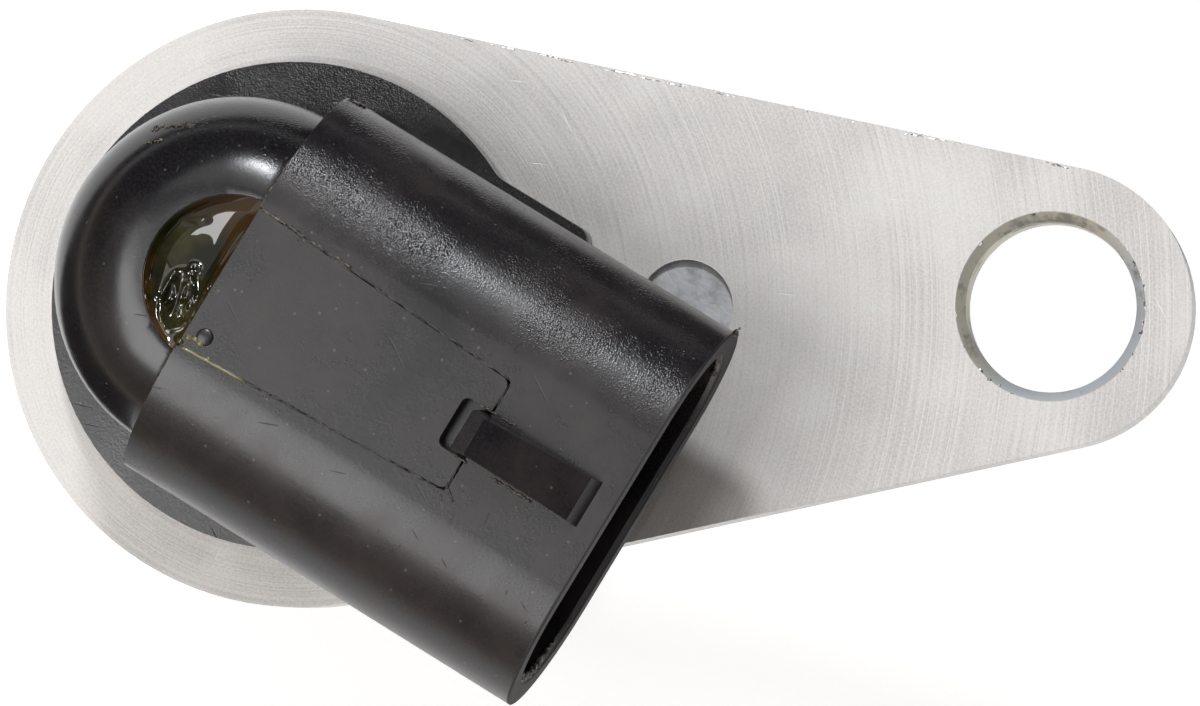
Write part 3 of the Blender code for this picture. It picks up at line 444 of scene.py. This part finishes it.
# Bubbles and burst rings: place, half lengths, turn, ridge height and the depth inside the ridge.
BUBBLES = (
    ((-2.06, -1.75), (1.15, 0.68), -1.2, 0.11, 0.05),
    ((-2.48, -1.72), (0.50, 0.22), -1.25, 0.1, 0.06),
    ((-1.86, -1.45), (0.52, 0.20), -1.25, 0.1, 0.08),
    ((-1.62, -2.05), (0.34, 0.22), -1.0, 0.08, 0.04),
    ((-2.2, -0.25), (0.16, 0.14), 0.0, 0.06, 0.0),
    ((-2.2, -0.58), (0.13, 0.12), 0.0, 0.05, 0.0),
    ((-1.42, -1.25), (0.12, 0.1), 0.0, 0.05, 0.0),
    ((-1.5, -2.5), (0.3, 0.14), 0.4, 0.05, 0.02),
    ((-3.2, 1.3), (0.26, 0.07), 0.6, 0.035, 0.0),
    ((-3.0, -2.2), (0.22, 0.16), 0.6, 0.05, 0.02),
)


def resin_level(x, y):
    """The height of the resin's skin at a place: a sagging membrane, tilted, with its bubbles on it."""
    reach = RESIN_FRONT - x  # from the front wall
    room = RESIN_RADIUS**2 - (x - WINDOW_CENTRE) ** 2 - y**2
    level = RESIN_TOP - RESIN_SAG * (1 - math.exp(-max(reach * room, 0.0) / RESIN_REACH))
    level -= RESIN_TILT * (y + RESIN_RADIUS) * min(1.0, max(room, 0.0) / TILT_EASE)
    rim = min(1.0, max(reach, 0.0) / FRONT_EASE) * min(1.0, max(room, 0.0) / WALL_EASE)
    uneven = 1 + 1.3 * noise.noise(Vector((x, y, 0)) / UNEVEN_SIZE)
    for (bx, by), (long, short), turn, ridge, pit in BUBBLES:
        dx, dy = x - bx * MM, y - by * MM
        along = (dx * math.cos(turn) + dy * math.sin(turn)) / (long * MM)
        aside = (dy * math.cos(turn) - dx * math.sin(turn)) / (short * MM)
        away = math.hypot(along, aside)
        width = RIDGE_WIDTH / short
        level += rim * uneven * ridge * MM * math.exp(-(((away - 1) / width) ** 2))
        level -= rim * pit * MM * max(0.0, 1 - away**2)
    ripple = noise.noise(Vector((x, y, 0)) / RIPPLE_SIZE)
    return level + rim * RIPPLE_HEIGHT * ripple


def resin_skin():
    """The D-shaped skin as a fine grid, with a skirt that goes down into the rest of the resin."""
    corner = math.acos((RESIN_FRONT - WINDOW_CENTRE) / RESIN_RADIUS)
    half = RESIN_RADIUS * math.sin(corner)
    bm = bmesh.new()
    bmesh.ops.create_grid(bm, x_segments=ACROSS_STEPS, y_segments=DEEP_STEPS, size=1)
    for vert in bm.verts:
        across, deep = vert.co.x, (vert.co.y + 1) / 2
        turn = across * (math.pi - corner)
        front = Vector((RESIN_FRONT, half * across))
        back = Vector((WINDOW_CENTRE - RESIN_RADIUS * math.cos(turn), RESIN_RADIUS * math.sin(turn)))
        place = front.lerp(back, deep)
        vert.co = (place.x, place.y, resin_level(place.x, place.y))
    rim = [edge for edge in bm.edges if edge.is_boundary]
    skirt = bmesh.ops.extrude_edge_only(bm, edges=rim)["geom"]
    for item in skirt:
        if isinstance(item, bmesh.types.BMVert):
            item.co.z = RESIN_CUT
    bmesh.ops.holes_fill(bm, edges=[edge for edge in bm.edges if edge.is_boundary])
    bmesh.ops.recalc_face_normals(bm, faces=bm.faces)
    return bm


bm = resin_skin()
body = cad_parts["potting_resin"].data.copy()
below = bmesh.new()
below.from_mesh(body)
bmesh.ops.remove_doubles(below, verts=below.verts, dist=SAME_PLACE)
cut_plane = Vector((0, 0, RESIN_CUT))
whole = below.verts[:] + below.edges[:] + below.faces[:]
bmesh.ops.bisect_plane(below, geom=whole, plane_co=cut_plane, plane_no=(0, 0, 1), clear_outer=True)
bmesh.ops.holes_fill(below, edges=[edge for edge in below.edges if edge.is_boundary])
below.to_mesh(body)
below.free()
bm.from_mesh(body)
resin_mesh = bpy.data.meshes.new("resin_fill")
bm.to_mesh(resin_mesh)
bm.free()
bpy.data.meshes.remove(body)
resin_mesh.shade_smooth()
resin = new_object("resin_fill", resin_mesh)


def clear_resin():
    """Amber-green resin over a black floor: brown where it is thin along the edges, dark green where deep."""
    material, shader, add = new_material("resin")
    place = add("ShaderNodeTexCoord").outputs["Object"]
    wobble = noise_of(add, place, 650, 3, 0.6)
    shift = math_of(add, "MULTIPLY_ADD", wobble, 0.9 * MM, -0.45 * MM)
    axes = add("ShaderNodeSeparateXYZ", {0: place})
    from_front = math_of(add, "ADD", math_of(add, "SUBTRACT", RESIN_FRONT, axes.outputs["X"]), shift)
    end = math_of(add, "ADD", axes.outputs["Y"], shift)
    brown_end = fade(add, end, 0.9 * MM, 2.4 * MM)
    width = math_of(add, "MULTIPLY_ADD", fade(add, end, -0.5 * MM, 2.2 * MM), 0.6 * MM, 0.14 * MM)
    brown_front = fade(add, math_of(add, "SUBTRACT", from_front, width), 0.1 * MM, -0.1 * MM)
    thin_front = math_of(add, "MULTIPLY", brown_front, 0.8)
    thin_end = math_of(add, "MULTIPLY", brown_end, 0.9)
    brown = math_of(add, "MAXIMUM", thin_front, thin_end)
    reach = vector_of(add, "DISTANCE", place, (WINDOW_CENTRE, 0, ELBOW_ROOF))
    near_rim = fade(add, math_of(add, "ADD", reach, shift), 3.2 * MM, 3.42 * MM)
    low_side = fade(add, axes.outputs["Y"], -0.4 * MM, -1.2 * MM)
    orange = math_of(add, "MULTIPLY", near_rim, low_side)
    deep = blend(add, fade(add, wobble, 0.35, 0.7), (0.006, 0.006, 0.001), (0.034, 0.03, 0.004))
    amber = blend(add, brown, deep, (0.036, 0.016, 0.002))
    feed(shader.inputs["Base Color"], blend(add, orange, amber, (0.07, 0.03, 0.005)))
    shader.inputs["Roughness"].default_value = 0.03
    shader.inputs["IOR"].default_value = 1.55
    shader.inputs["Coat Weight"].default_value = 0.5
    shader.inputs["Coat Roughness"].default_value = 0.02
    shader.inputs["Coat IOR"].default_value = 1.6
    return material


resin_amber = clear_resin()
resin_mesh.materials.append(resin_amber)
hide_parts("potting_resin")
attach(resin, "root")

# Flash: plastic that was squeezed out along the weld between elbow and shroud, round the cover, and at the
# mouth's inner edge, and then broken off unevenly. Each line of it is one closed ragged bead.
ELBOW_FLAT = 3.28 * MM
ELBOW_SHOULDER = 4.2 * MM
WELD_FOOT = 34.5 * MM
UP = Vector((0, 0, 1))
BEAD_SIDES = 6


def ragged_bead(bm, path, half_width, height, chance, unevenness):
    """Extrudes a closed uneven ridge along a path of pairs: a place, and the way it stands up there."""
    cap = None
    for index, (place, up) in enumerate(path):
        behind, ahead = path[max(index - 1, 0)][0], path[min(index + 1, len(path) - 1)][0]
        side = (ahead - behind).cross(up).normalized()
        taper = 0.2 if index in (0, len(path) - 1) else 1.0
        wide = half_width * taper * (1 + unevenness * chance.uniform(-1, 1))
        tall = height * taper * (1 + unevenness * chance.uniform(-1, 1))
        if cap is None:
            circle = bmesh.ops.create_circle(bm, segments=BEAD_SIDES, radius=1, cap_ends=True)
            cap = circle["verts"][0].link_faces[0]
        else:
            cap = bmesh.ops.extrude_discrete_faces(bm, faces=[cap])["faces"][0]
        for corner, vert in enumerate(cap.verts):
            angle = math.tau * corner / BEAD_SIDES
            vert.co = place + side * wide * math.cos(angle) + up * tall * math.sin(angle)


def line_path(start, end, step, up, chance, wander):
    """Places along a straight line, a step apart, that wander a little to its side."""
    start, end = Vector(start), Vector(end)
    count = max(3, round((end - start).length / step))
    side = (end - start).cross(up).normalized()
    path = []
    for i in range(count + 1):
        path.append((start.lerp(end, i / count) + side * chance.uniform(-wander, wander), up))
    return path


def finished_piece(name, bm, material):
    """Closes and links a piece of the sensor, with its material."""
    bmesh.ops.holes_fill(bm, edges=[edge for edge in bm.edges if edge.is_boundary])
    bmesh.ops.recalc_face_normals(bm, faces=bm.faces)
    mesh = bpy.data.meshes.new(name)
    bm.to_mesh(mesh)
    bm.free()
    mesh.shade_smooth()
    mesh.materials.append(material)
    piece = new_object(name, mesh)
    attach(piece, "root")


def rough_plastic(name, dark, light, roughness):
    """Torn plastic: two tones by a fine noise, and a rough uneven skin."""
    material, shader, add = new_material(name)
    place = add("ShaderNodeTexCoord").outputs["Object"]
    torn = noise_of(add, place, 5200, 4, 0.7)
    feed(shader.inputs["Base Color"], blend(add, fade(add, torn, 0.42, 0.66), dark, light))
    feed(shader.inputs["Roughness"], math_of(add, "MULTIPLY_ADD", torn, 0.3, roughness))
    bumped(add, shader, torn, 0.02 * MM)
    return material


def weld_path(side, chance):
    """Up the elbow's outline in the joint plane, from its flank over its shoulder to the window."""
    path = []
    for i in range(10):
        place = Vector((JOINT, side * (ELBOW_FLAT + ELBOW_SHOULDER), WELD_FOOT + i * 0.4 * MM))
        path.append((place, Vector((0, side, 0))))
    middle = Vector((JOINT, side * ELBOW_FLAT, ELBOW_ROOF - ELBOW_SHOULDER))
    for i in range(46):
        turn = math.radians(2 * i)
        up = Vector((0, side * math.cos(turn), math.sin(turn)))
        drift = Vector((chance.uniform(-0.02, 0.02) * MM, 0, 0))
        path.append((middle + up * ELBOW_SHOULDER + drift, up))
    return path


chance = random.Random(7)
bm = bmesh.new()
for side in (-1, 1):
    ragged_bead(bm, weld_path(side, chance), 0.06 * MM, 0.08 * MM, chance, 0.8)
weld_plastic = rough_plastic("weld_flash_plastic", (0.012, 0.01, 0.008), (0.22, 0.19, 0.12), 0.2)
finished_piece("weld_flash", bm, weld_plastic)

COVER_BACK = (JOINT + 0.04 * MM, 3.13 * MM)
COVER_FRONT = (11.2 * MM, 2.53 * MM)
LATCH_HALF_WIDTH = 1.02 * MM
FLASH_HEIGHT = ROOF - 0.03 * MM
bm = bmesh.new()
for side in (-1, 1):
    start = (COVER_BACK[0], side * (COVER_BACK[1] + 0.03 * MM), FLASH_HEIGHT)
    end = (COVER_FRONT[0], side * (COVER_FRONT[1] + 0.02 * MM), FLASH_HEIGHT)
    along = line_path(start, end, 0.16 * MM, UP, chance, 0.03 * MM)
    ragged_bead(bm, along, 0.055 * MM, 0.045 * MM, chance, 0.8)
    outer = (COVER_FRONT[0], side * COVER_FRONT[1], FLASH_HEIGHT)
    inner = (COVER_FRONT[0], side * (LATCH_HALF_WIDTH + 0.3 * MM), FLASH_HEIGHT)
    across = line_path(inner, outer, 0.14 * MM, UP, chance, 0.03 * MM)
    ragged_bead(bm, across, 0.05 * MM, 0.04 * MM, chance, 0.9)
cover_plastic = rough_plastic("cover_flash_plastic", (0.008, 0.007, 0.006), (0.05, 0.042, 0.032), 0.3)
finished_piece("cover_flash", bm, cover_plastic)

# Loose bits: the burrs at the shroud's corners and along its seams, torn flash round the mouth's inner edge,
# and the scuffs on the elbow. They are slivers of the same plastic that still cling to it. Their pale patches
# are partly the real pale tone of torn plastic and partly painted glints.
# Scuffs: where each row starts and ends on the elbow, in millimetres, and how many there are.
SCUFF_ROWS = (((-6.75, 3.6), (-5.35, 4.55), 9), ((-6.55, 3.0), (-6.15, 3.3), 4))
MOUTH_FLAT = 4.29 * MM
MOUTH_INNER = 3.22 * MM
MOUTH_STEPS = 60
# Burrs: where each starts and ends, its half width and its height, in millimetres.
BURR_LINES = (
    ((-1.05, 8.1, 40.4), (-0.9, 8.68, 39.0), 0.09, 0.16),
    ((-1.0, 8.55, 39.5), (-0.2, 8.72, 39.0), 0.07, 0.14),
    ((-0.9, 8.6, 38.9), (-1.0, 8.95, 39.4), 0.05, 0.1),
    ((17.15, 8.5, 39.4), (17.32, 8.72, 38.2), 0.08, 0.16),
    ((17.2, 8.6, 38.9), (17.4, 8.98, 39.3), 0.05, 0.09),
    # A light bead along the cover's +y seam, put where the seam glints: a painted highlight.
    ((-0.9, 3.17, 43.0), (3.4, 3.06, 43.0), 0.05, 0.035),
    ((10.62, 1.12, 43.02), (12.6, 1.12, 43.05), 0.035, 0.05),
    ((12.4, -1.12, 43.02), (14.4, -1.1, 43.04), 0.045, 0.05),
    ((10.6, -1.1, 43.02), (11.4, -1.14, 43.03), 0.05, 0.06),
    ((11.1, -2.2, 43.0), (11.7, -2.75, 43.0), 0.06, 0.05),
    ((11.0, -2.6, 43.0), (11.5, -3.2, 42.98), 0.05, 0.04),
)


def mouth_path(start, end, chance):
    """Along the mouth's inner edge, from one angle to another round its two rounded ends."""
    path = []
    for i in range(MOUTH_STEPS):
        turn = math.radians(start + (end - start) * i / (MOUTH_STEPS - 1))
        side = math.copysign(1, math.cos(turn))
        up = Vector((0, -math.cos(turn), -math.sin(turn)))
        middle = Vector((MOUTH - 0.2 * MM, side * MOUTH_FLAT, SHOULDER_MIDDLE))
        reach = MOUTH_INNER + chance.uniform(-0.03, 0.05) * MM
        path.append((middle - up * reach + Vector((chance.uniform(-0.12, 0.05) * MM, 0, 0)), up))
    return path


bm = bmesh.new()
ragged_bead(bm, mouth_path(115, 245, chance), 0.11 * MM, 0.17 * MM, chance, 0.95)
ragged_bead(bm, mouth_path(-40, 70, chance), 0.07 * MM, 0.1 * MM, chance, 0.95)
for start, end, width, height in BURR_LINES:
    route = line_path(Vector(start) * MM, Vector(end) * MM, 0.09 * MM, UP, chance, 0.03 * MM)
    ragged_bead(bm, route, width * MM, height * MM, chance, 0.9)
scuffs = [(-2.3, 5.2, 0.3, 0.9)]
for start, end, count in SCUFF_ROWS:
    for i in range(count):
        middle = Vector(start).lerp(Vector(end), i / (count - 1))
        scuffs.append((middle.x, middle.y, chance.uniform(0.2, 0.5), chance.uniform(0.3, 1.9)))
for x, y, length, turn in scuffs:
    ends = []
    for sign in (-0.5, 0.5):
        px, py = x + sign * length * math.cos(turn), y + sign * length * math.sin(turn)
        out = math.hypot(px - JOINT / MM, py) - ELBOW_FLAT / MM
        drop = math.sqrt(max((ELBOW_SHOULDER / MM) ** 2 - max(out, 0) ** 2, 0))
        ends.append(Vector((px, py, (ELBOW_ROOF - ELBOW_SHOULDER) / MM + drop)) * MM)
    route = line_path(*ends, 0.06 * MM, UP, chance, 0.04 * MM)
    ragged_bead(bm, route, 0.04 * MM, 0.045 * MM, chance, 0.9)
torn_plastic_with_glints = rough_plastic("torn_plastic_with_glints", (0.015, 0.012, 0.009), (0.19, 0.16, 0.12), 0.25)
finished_piece("torn_edges", bm, torn_plastic_with_glints)

# Run-out: resin that crept along the cover's joint when it was poured. It set as a thin thread, with drops
# at the foot of a moulded pip.
PIP = Vector((-0.22, -2.36, 43.0)) * MM
PIP_RADIUS = 0.36 * MM
THREAD_ENDS = (Vector((-0.95, -3.17, 43.0)) * MM, Vector((2.1, -3.02, 43.0)) * MM)
SIDE_THREAD_ENDS = (Vector((-0.95, -2.75, 43.0)) * MM, Vector((-0.35, -2.62, 43.0)) * MM)
# Drops: the place of each and its radius, in millimetres.
DROPS = (
    (-0.78, -2.7, 0.15),
    (-0.5, -2.62, 0.11),
    (-0.25, -2.66, 0.13),
    (-0.98, -3.0, 0.12),
    (0.35, -3.02, 0.09),
)
bm = bmesh.new()
thread = line_path(*THREAD_ENDS, 0.2 * MM, UP, chance, 0.008 * MM)
ragged_bead(bm, thread, 0.08 * MM, 0.07 * MM, chance, 0.12)
side_thread = line_path(*SIDE_THREAD_ENDS, 0.15 * MM, UP, chance, 0.01 * MM)
ragged_bead(bm, side_thread, 0.06 * MM, 0.04 * MM, chance, 0.3)
for x, y, radius in DROPS:
    ball = bmesh.ops.create_uvsphere(bm, u_segments=16, v_segments=10, radius=radius * MM)["verts"]
    bmesh.ops.scale(bm, verts=ball, vec=(1.2, 1, 0.6))
    bmesh.ops.translate(bm, verts=ball, vec=(x * MM, y * MM, ROOF))
thread_amber, shader, add = new_material("resin_thread")
place = add("ShaderNodeTexCoord").outputs["Object"]
patches = noise_of(add, place, 1100, 2)
amber = blend(add, fade(add, patches, 0.4, 0.6), (0.05, 0.045, 0.015), (0.17, 0.16, 0.07))
feed(shader.inputs["Base Color"], amber)
feed(shader.inputs["Roughness"], math_of(add, "MULTIPLY", patches, 0.15))
finished_piece("resin_thread", bm, thread_amber)

bm = bmesh.new()
pip = bmesh.ops.create_uvsphere(bm, u_segments=24, v_segments=12, radius=PIP_RADIUS)["verts"]
bmesh.ops.scale(bm, verts=pip, vec=(1, 1, 0.2))
bmesh.ops.translate(bm, verts=pip, vec=PIP)
finished_piece("moulded_pip", bm, cover_black)

# Nicks: small dents and burrs in the bare metal, which knocks and the press left on the plate's upper edge
# and round the bolt hole. Their colour is painted glints and painted shade, in bright and dark patches.
edge_normal = EAR_ANGLE + math.acos((END_RADIUS - EAR_RADIUS) / EAR_REACH)
edge_out = Vector((math.cos(edge_normal), math.sin(edge_normal), 0))
edge_start = edge_out * END_RADIUS
edge_end = BOLT_HOLE_CENTRE + edge_out * EAR_RADIUS
EDGE_NICKS = 38
HOLE_NICKS = 26
bm = bmesh.new()
for _ in range(EDGE_NICKS):
    shares = (chance.uniform(0.12, 1.0), chance.gauss(0.3, 0.05), chance.gauss(0.75, 0.1))
    share = chance.choice(shares)
    middle = edge_start.lerp(edge_end, share) - edge_out * chance.uniform(0.05, 0.13) * MM
    half = (edge_end - edge_start).normalized() * chance.uniform(0.1, 0.6) * MM
    lift = UP * (PLATE_TOP - chance.uniform(0.0, 0.02) * MM)
    route = line_path(middle - half + lift, middle + half + lift, 0.09 * MM, UP, chance, 0.02 * MM)
    ragged_bead(bm, route, chance.uniform(0.015, 0.04) * MM, 0.012 * MM, chance, 0.9)
for _ in range(HOLE_NICKS):
    angles = (chance.gauss(4.4, 0.35), chance.gauss(0.6, 0.3), chance.uniform(0, math.tau))
    angle = chance.choice(angles)
    reach = CHAMFER_RADIUS + chance.uniform(-0.05, 0.06) * MM
    along = Vector((-math.sin(angle), math.cos(angle), 0)) * chance.uniform(0.05, 0.16) * MM
    outwards = Vector((math.cos(angle), math.sin(angle), 0))
    middle = BOLT_HOLE_CENTRE + outwards * reach + UP * (PLATE_TOP - 0.03 * MM)
    route = line_path(middle - along, middle + along, 0.05 * MM, UP, chance, 0.02 * MM)
    ragged_bead(bm, route, chance.uniform(0.02, 0.05) * MM, 0.04 * MM, chance, 0.9)
nick_metal_painted_glints, shader, add = new_material("nick_glints_painted")
place = add("ShaderNodeTexCoord").outputs["Object"]
# The nicks' colour: painted glints and painted shade, bright and dark patches of the metal's colour by a
# noise.
facets = noise_of(add, place, 3000, 3)
painted_glints = blend(add, fade(add, facets, 0.48, 0.56), (0.16, 0.15, 0.14), (0.93, 0.93, 0.92))
feed(shader.inputs["Base Color"], painted_glints)
shader.inputs["Metallic"].default_value = 1.0
feed(shader.inputs["Roughness"], math_of(add, "MULTIPLY_ADD", facets, 0.4, 0.15))
finished_piece("edge_nicks", bm, nick_metal_painted_glints)

# Inner pieces, the seal and the terminals: turned iron, a moulded spool, wound copper wire under tape, a
# ground magnet, black mouldings, tinned blades and solder. Each keeps its shape and gets its own finish.
# Each finish: colour, metallic, roughness, size of the pattern, its strength, and the marks' direction.
FINISHES = {
    "seal_rubber": ((0.012, 0.012, 0.013), 0.0, 0.5, 0.25, 0.5, (1, 1, 1)),
    "core_iron": ((0.36, 0.36, 0.37), 1.0, 0.34, 0.12, 0.35, (0.15, 0.15, 1)),
    "bobbin_plastic": ((0.62, 0.58, 0.47), 0.0, 0.45, 0.8, 0.3, (1, 1, 1)),
    "winding_copper": ((0.5, 0.19, 0.07), 1.0, 0.3, 0.08, 0.9, (0.05, 0.05, 1)),
    "tape": ((0.62, 0.46, 0.07), 0.0, 0.3, 0.9, 0.4, (1, 1, 0.3)),
    "magnet_alloy": ((0.2, 0.2, 0.21), 1.0, 0.42, 0.15, 0.4, (1, 1, 0.2)),
    "inner_plastic": ((0.02, 0.02, 0.022), 0.0, 0.4, 0.5, 0.4, (1, 1, 1)),
    "terminal_metal": ((0.62, 0.6, 0.54), 1.0, 0.28, 0.2, 0.35, (0.1, 1, 1)),
    "lead_copper": ((0.5, 0.12, 0.05), 1.0, 0.25, 0.3, 0.3, (1, 1, 1)),
    "solder": ((0.55, 0.55, 0.56), 1.0, 0.2, 0.4, 0.5, (1, 1, 1)),
}
INNER_PIECES = {
    "o_ring": "seal_rubber",
    "pole_piece": "core_iron",
    "backing_disc": "core_iron",
    "coil_bobbin": "bobbin_plastic",
    "coil_winding": "winding_copper",
    "winding_tape": "tape",
    "magnet": "magnet_alloy",
    "stack_retainer": "inner_plastic",
    "terminal_carrier": "inner_plastic",
    "terminal_left": "terminal_metal",
    "terminal_right": "terminal_metal",
    "lead_wire_left": "lead_copper",
    "lead_wire_right": "lead_copper",
    "solder_joint_left": "solder",
    "solder_joint_right": "solder",
}


def inner_finish(name, colour, metallic, roughness, size, strength, direction):
    """A finish whose tone, gloss and relief follow one noise, stretched along the way it was worked."""
    material, shader, add = new_material(name)
    place = add("ShaderNodeTexCoord").outputs["Object"]
    stretched = add("ShaderNodeMapping", {"Vector": place, "Scale": direction}).outputs[0]
    pattern = noise_of(add, stretched, 1 / (size * MM), 4)
    darker = tuple(channel * (1 - 0.45 * strength) for channel in colour)
    feed(shader.inputs["Base Color"], blend(add, fade(add, pattern, 0.3, 0.7), darker, colour))
    shader.inputs["Metallic"].default_value = metallic
    feed(shader.inputs["Roughness"], math_of(add, "MULTIPLY_ADD", pattern, 0.2 * strength, roughness))
    bumped(add, shader, pattern, 0.01 * MM, strength)
    return material


finishes = {name: inner_finish(name, *values) for name, values in FINISHES.items()}
for node, finish in INNER_PIECES.items():
    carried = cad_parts[node]
    carried.data.materials.clear()
    carried.data.materials.append(finishes[finish])

# Camera: it looks almost straight down from 0.28 m above the plate, a little from the mouth's side. Its long
# lens keeps the perspective weak.
CAMERA_PLACE = Vector((51.348, 12.934, 308.475)) * MM
CAMERA_VIEW = Vector((-0.14062, -0.028441, -0.989655))
CAMERA_RIGHT = Vector((0.843945, 0.519206, -0.134838))
SENSOR_WIDTH = 36
FOCAL_LENGTH = 204.675
camera_data = bpy.data.cameras.new("camera")
camera = new_object("camera", camera_data)
bpy.context.scene.camera = camera
view = CAMERA_VIEW.normalized()
right = (CAMERA_RIGHT - view * CAMERA_RIGHT.dot(view)).normalized()
up = right.cross(view)
turn = Matrix((right, up, -view)).transposed()
camera.matrix_world = Matrix.Translation(CAMERA_PLACE) @ turn.to_4x4()
camera_data.sensor_width = SENSOR_WIDTH
camera_data.lens = FOCAL_LENGTH
camera_data.clip_start = 0.01
camera_data.clip_end = 10

# Floor: a plain white sheet that the sensor stands on. To the camera, to gloss and to glass it also glows a
# little, so it reads as white paper and still takes the sensor's shadow.
floor_mesh = bpy.data.meshes.new("floor")
bm = bmesh.new()
bmesh.ops.create_grid(bm, x_segments=1, y_segments=1, size=5.0)
bm.to_mesh(floor_mesh)
bm.free()
floor = new_object("floor", floor_mesh)
paper, shader, add = new_material("floor_paper")
shader.inputs["Base Color"].default_value = (0.85, 0.85, 0.85, 1)
shader.inputs["Roughness"].default_value = 0.9
shader.inputs["Specular IOR Level"].default_value = 0
rays = add("ShaderNodeLightPath")
seen = math_of(add, "MAXIMUM", rays.outputs["Is Camera Ray"], rays.outputs["Is Glossy Ray"])
seen = math_of(add, "MAXIMUM", seen, rays.outputs["Is Transmission Ray"])
shader.inputs["Emission Color"].default_value = (1, 1, 1, 1)
glow_seen = math_of(add, "MULTIPLY", seen, 0.4)
glow = math_of(add, "MULTIPLY_ADD", rays.outputs["Is Camera Ray"], 0.08, glow_seen)
feed(shader.inputs["Emission Strength"], glow)
floor_mesh.materials.append(paper)

# Flags: black card in a shallow dish round the sheet, outside the picture, as a photographer lays it to
# keep the sides of glossy black plastic dark. Only reflections see it.
FLAG_BOTTOM = 1 * MM
FLAG_INNER = 32 * MM
FLAG_OUTER = 500 * MM
FLAG_RISE = 30 * MM
FLAG_START = math.radians(40)
FLAG_END = math.radians(255)
FLAG_RECESS = math.radians(150)  # the way in which the card lies furthest out
flag_mesh = bpy.data.meshes.new("flag_dish")
bm = bmesh.new()
first = bm.verts.new((FLAG_INNER, 0, FLAG_BOTTOM))
last = bm.verts.new((FLAG_OUTER, 0, FLAG_RISE))
edge = bm.edges.new((first, last))
bmesh.ops.rotate(bm, verts=bm.verts, matrix=Matrix.Rotation(FLAG_START, 3, "Z"))
bmesh.ops.spin(
    bm,
    geom=[first, last, edge],
    cent=(0, 0, 0),
    axis=(0, 0, 1),
    angle=FLAG_END - FLAG_START,
    steps=90,
)
# Towards the back and the upper left the sheet shows further out before the card begins.
for vert in bm.verts:
    if vert.co.xy.length < FLAG_OUTER / 2:
        azimuth = math.atan2(vert.co.y, vert.co.x)
        away = math.cos(azimuth - FLAG_RECESS)
        vert.co.xy *= 1 + 6 * max(0.0, away) ** 3
bm.to_mesh(flag_mesh)
bm.free()
flag = new_object("flag_dish", flag_mesh)
flag.visible_camera = False
flag.visible_diffuse = False
flag.visible_transmission = False
flag.visible_shadow = False
card, shader, add = new_material("black_card")
shader.inputs["Base Color"].default_value = (0.02, 0.02, 0.02, 1)
shader.inputs["Roughness"].default_value = 0.9
flag_mesh.materials.append(card)

# Lights: a big soft box over the camera's lower left, a dimmer panel on the far side and two small lamps
# towards the top of the picture. The room is dim, and pale only where the sheet meets the horizon.
PART_MIDDLE = Vector((5, 0, 40)) * MM
SOFTBOX_HEIGHT = 0.6
LAMP_DISTANCE = 0.8


def soft_box(name, near, far, height, radiance):
    """A level rectangular lamp; near and far are its corners' offsets for each unit of height."""
    data = bpy.data.lights.new(name, "AREA")
    data.shape = "RECTANGLE"
    size = (near - far) * height
    data.size, data.size_y = size
    data.energy = radiance * math.pi * size.x * size.y
    lamp = new_object(name, data)
    middle = (near + far) / 2 * height
    lamp.location = PART_MIDDLE + Vector((middle.x, middle.y, height))


def bare_lamp(name, direction, distance, diameter, radiance, tint):
    """A round lamp that faces the part from a direction."""
    data = bpy.data.lights.new(name, "AREA")
    data.shape = "DISK"
    data.size = diameter
    data.energy = radiance * math.pi * math.pi * diameter**2 / 4
    data.color = tint
    lamp = new_object(name, data)
    away = Vector(direction).normalized()
    lamp.location = PART_MIDDLE + away * distance
    lamp.rotation_euler = away.to_track_quat("Z", "X").to_euler()


soft_box("soft_box", Vector((-0.08, -0.085)), Vector((-0.6, -0.84)), SOFTBOX_HEIGHT, 5.2)
soft_box("room_fill", Vector((0.2, 0.1)), Vector((-1.4, -1.5)), SOFTBOX_HEIGHT + 0.01, 0.28)
soft_box("far_panel", Vector((0.1, 0.6)), Vector((-0.7, 0.12)), SOFTBOX_HEIGHT + 0.02, 1.1)
bare_lamp("bare_lamp", (-0.3, 0.56, 0.772), LAMP_DISTANCE, 0.11, 90, (0.94, 0.97, 1))
bare_lamp("side_lamp", (-0.16, 0.42, 0.9), LAMP_DISTANCE, 0.06, 8, (0.92, 0.96, 1))

world = bpy.data.worlds.new("studio")
bpy.context.scene.world = world
world.use_nodes = True
add = node_maker(world.node_tree)
direction = add("ShaderNodeTexCoord").outputs["Generated"]
way = add("ShaderNodeSeparateXYZ", {0: direction})
above = math_of(add, "ABSOLUTE", way.outputs["Z"])
near_side = fade(add, way.outputs["Y"], -0.7, -0.1, 0.45, 0.1)
background = world.node_tree.nodes["Background"]
lower_left = vector_of(add, "DOT_PRODUCT", direction, (-0.5, -0.85, 0))
warm = fade(add, lower_left, 0.1, 0.7)
feed(background.inputs["Color"], blend(add, warm, (1, 1, 1), (1, 0.86, 0.72)))
feed(background.inputs["Strength"], fade(add, above, 0.05, 0.12, 1.0, near_side))

bpy.context.scene.view_settings.view_transform = "Standard"
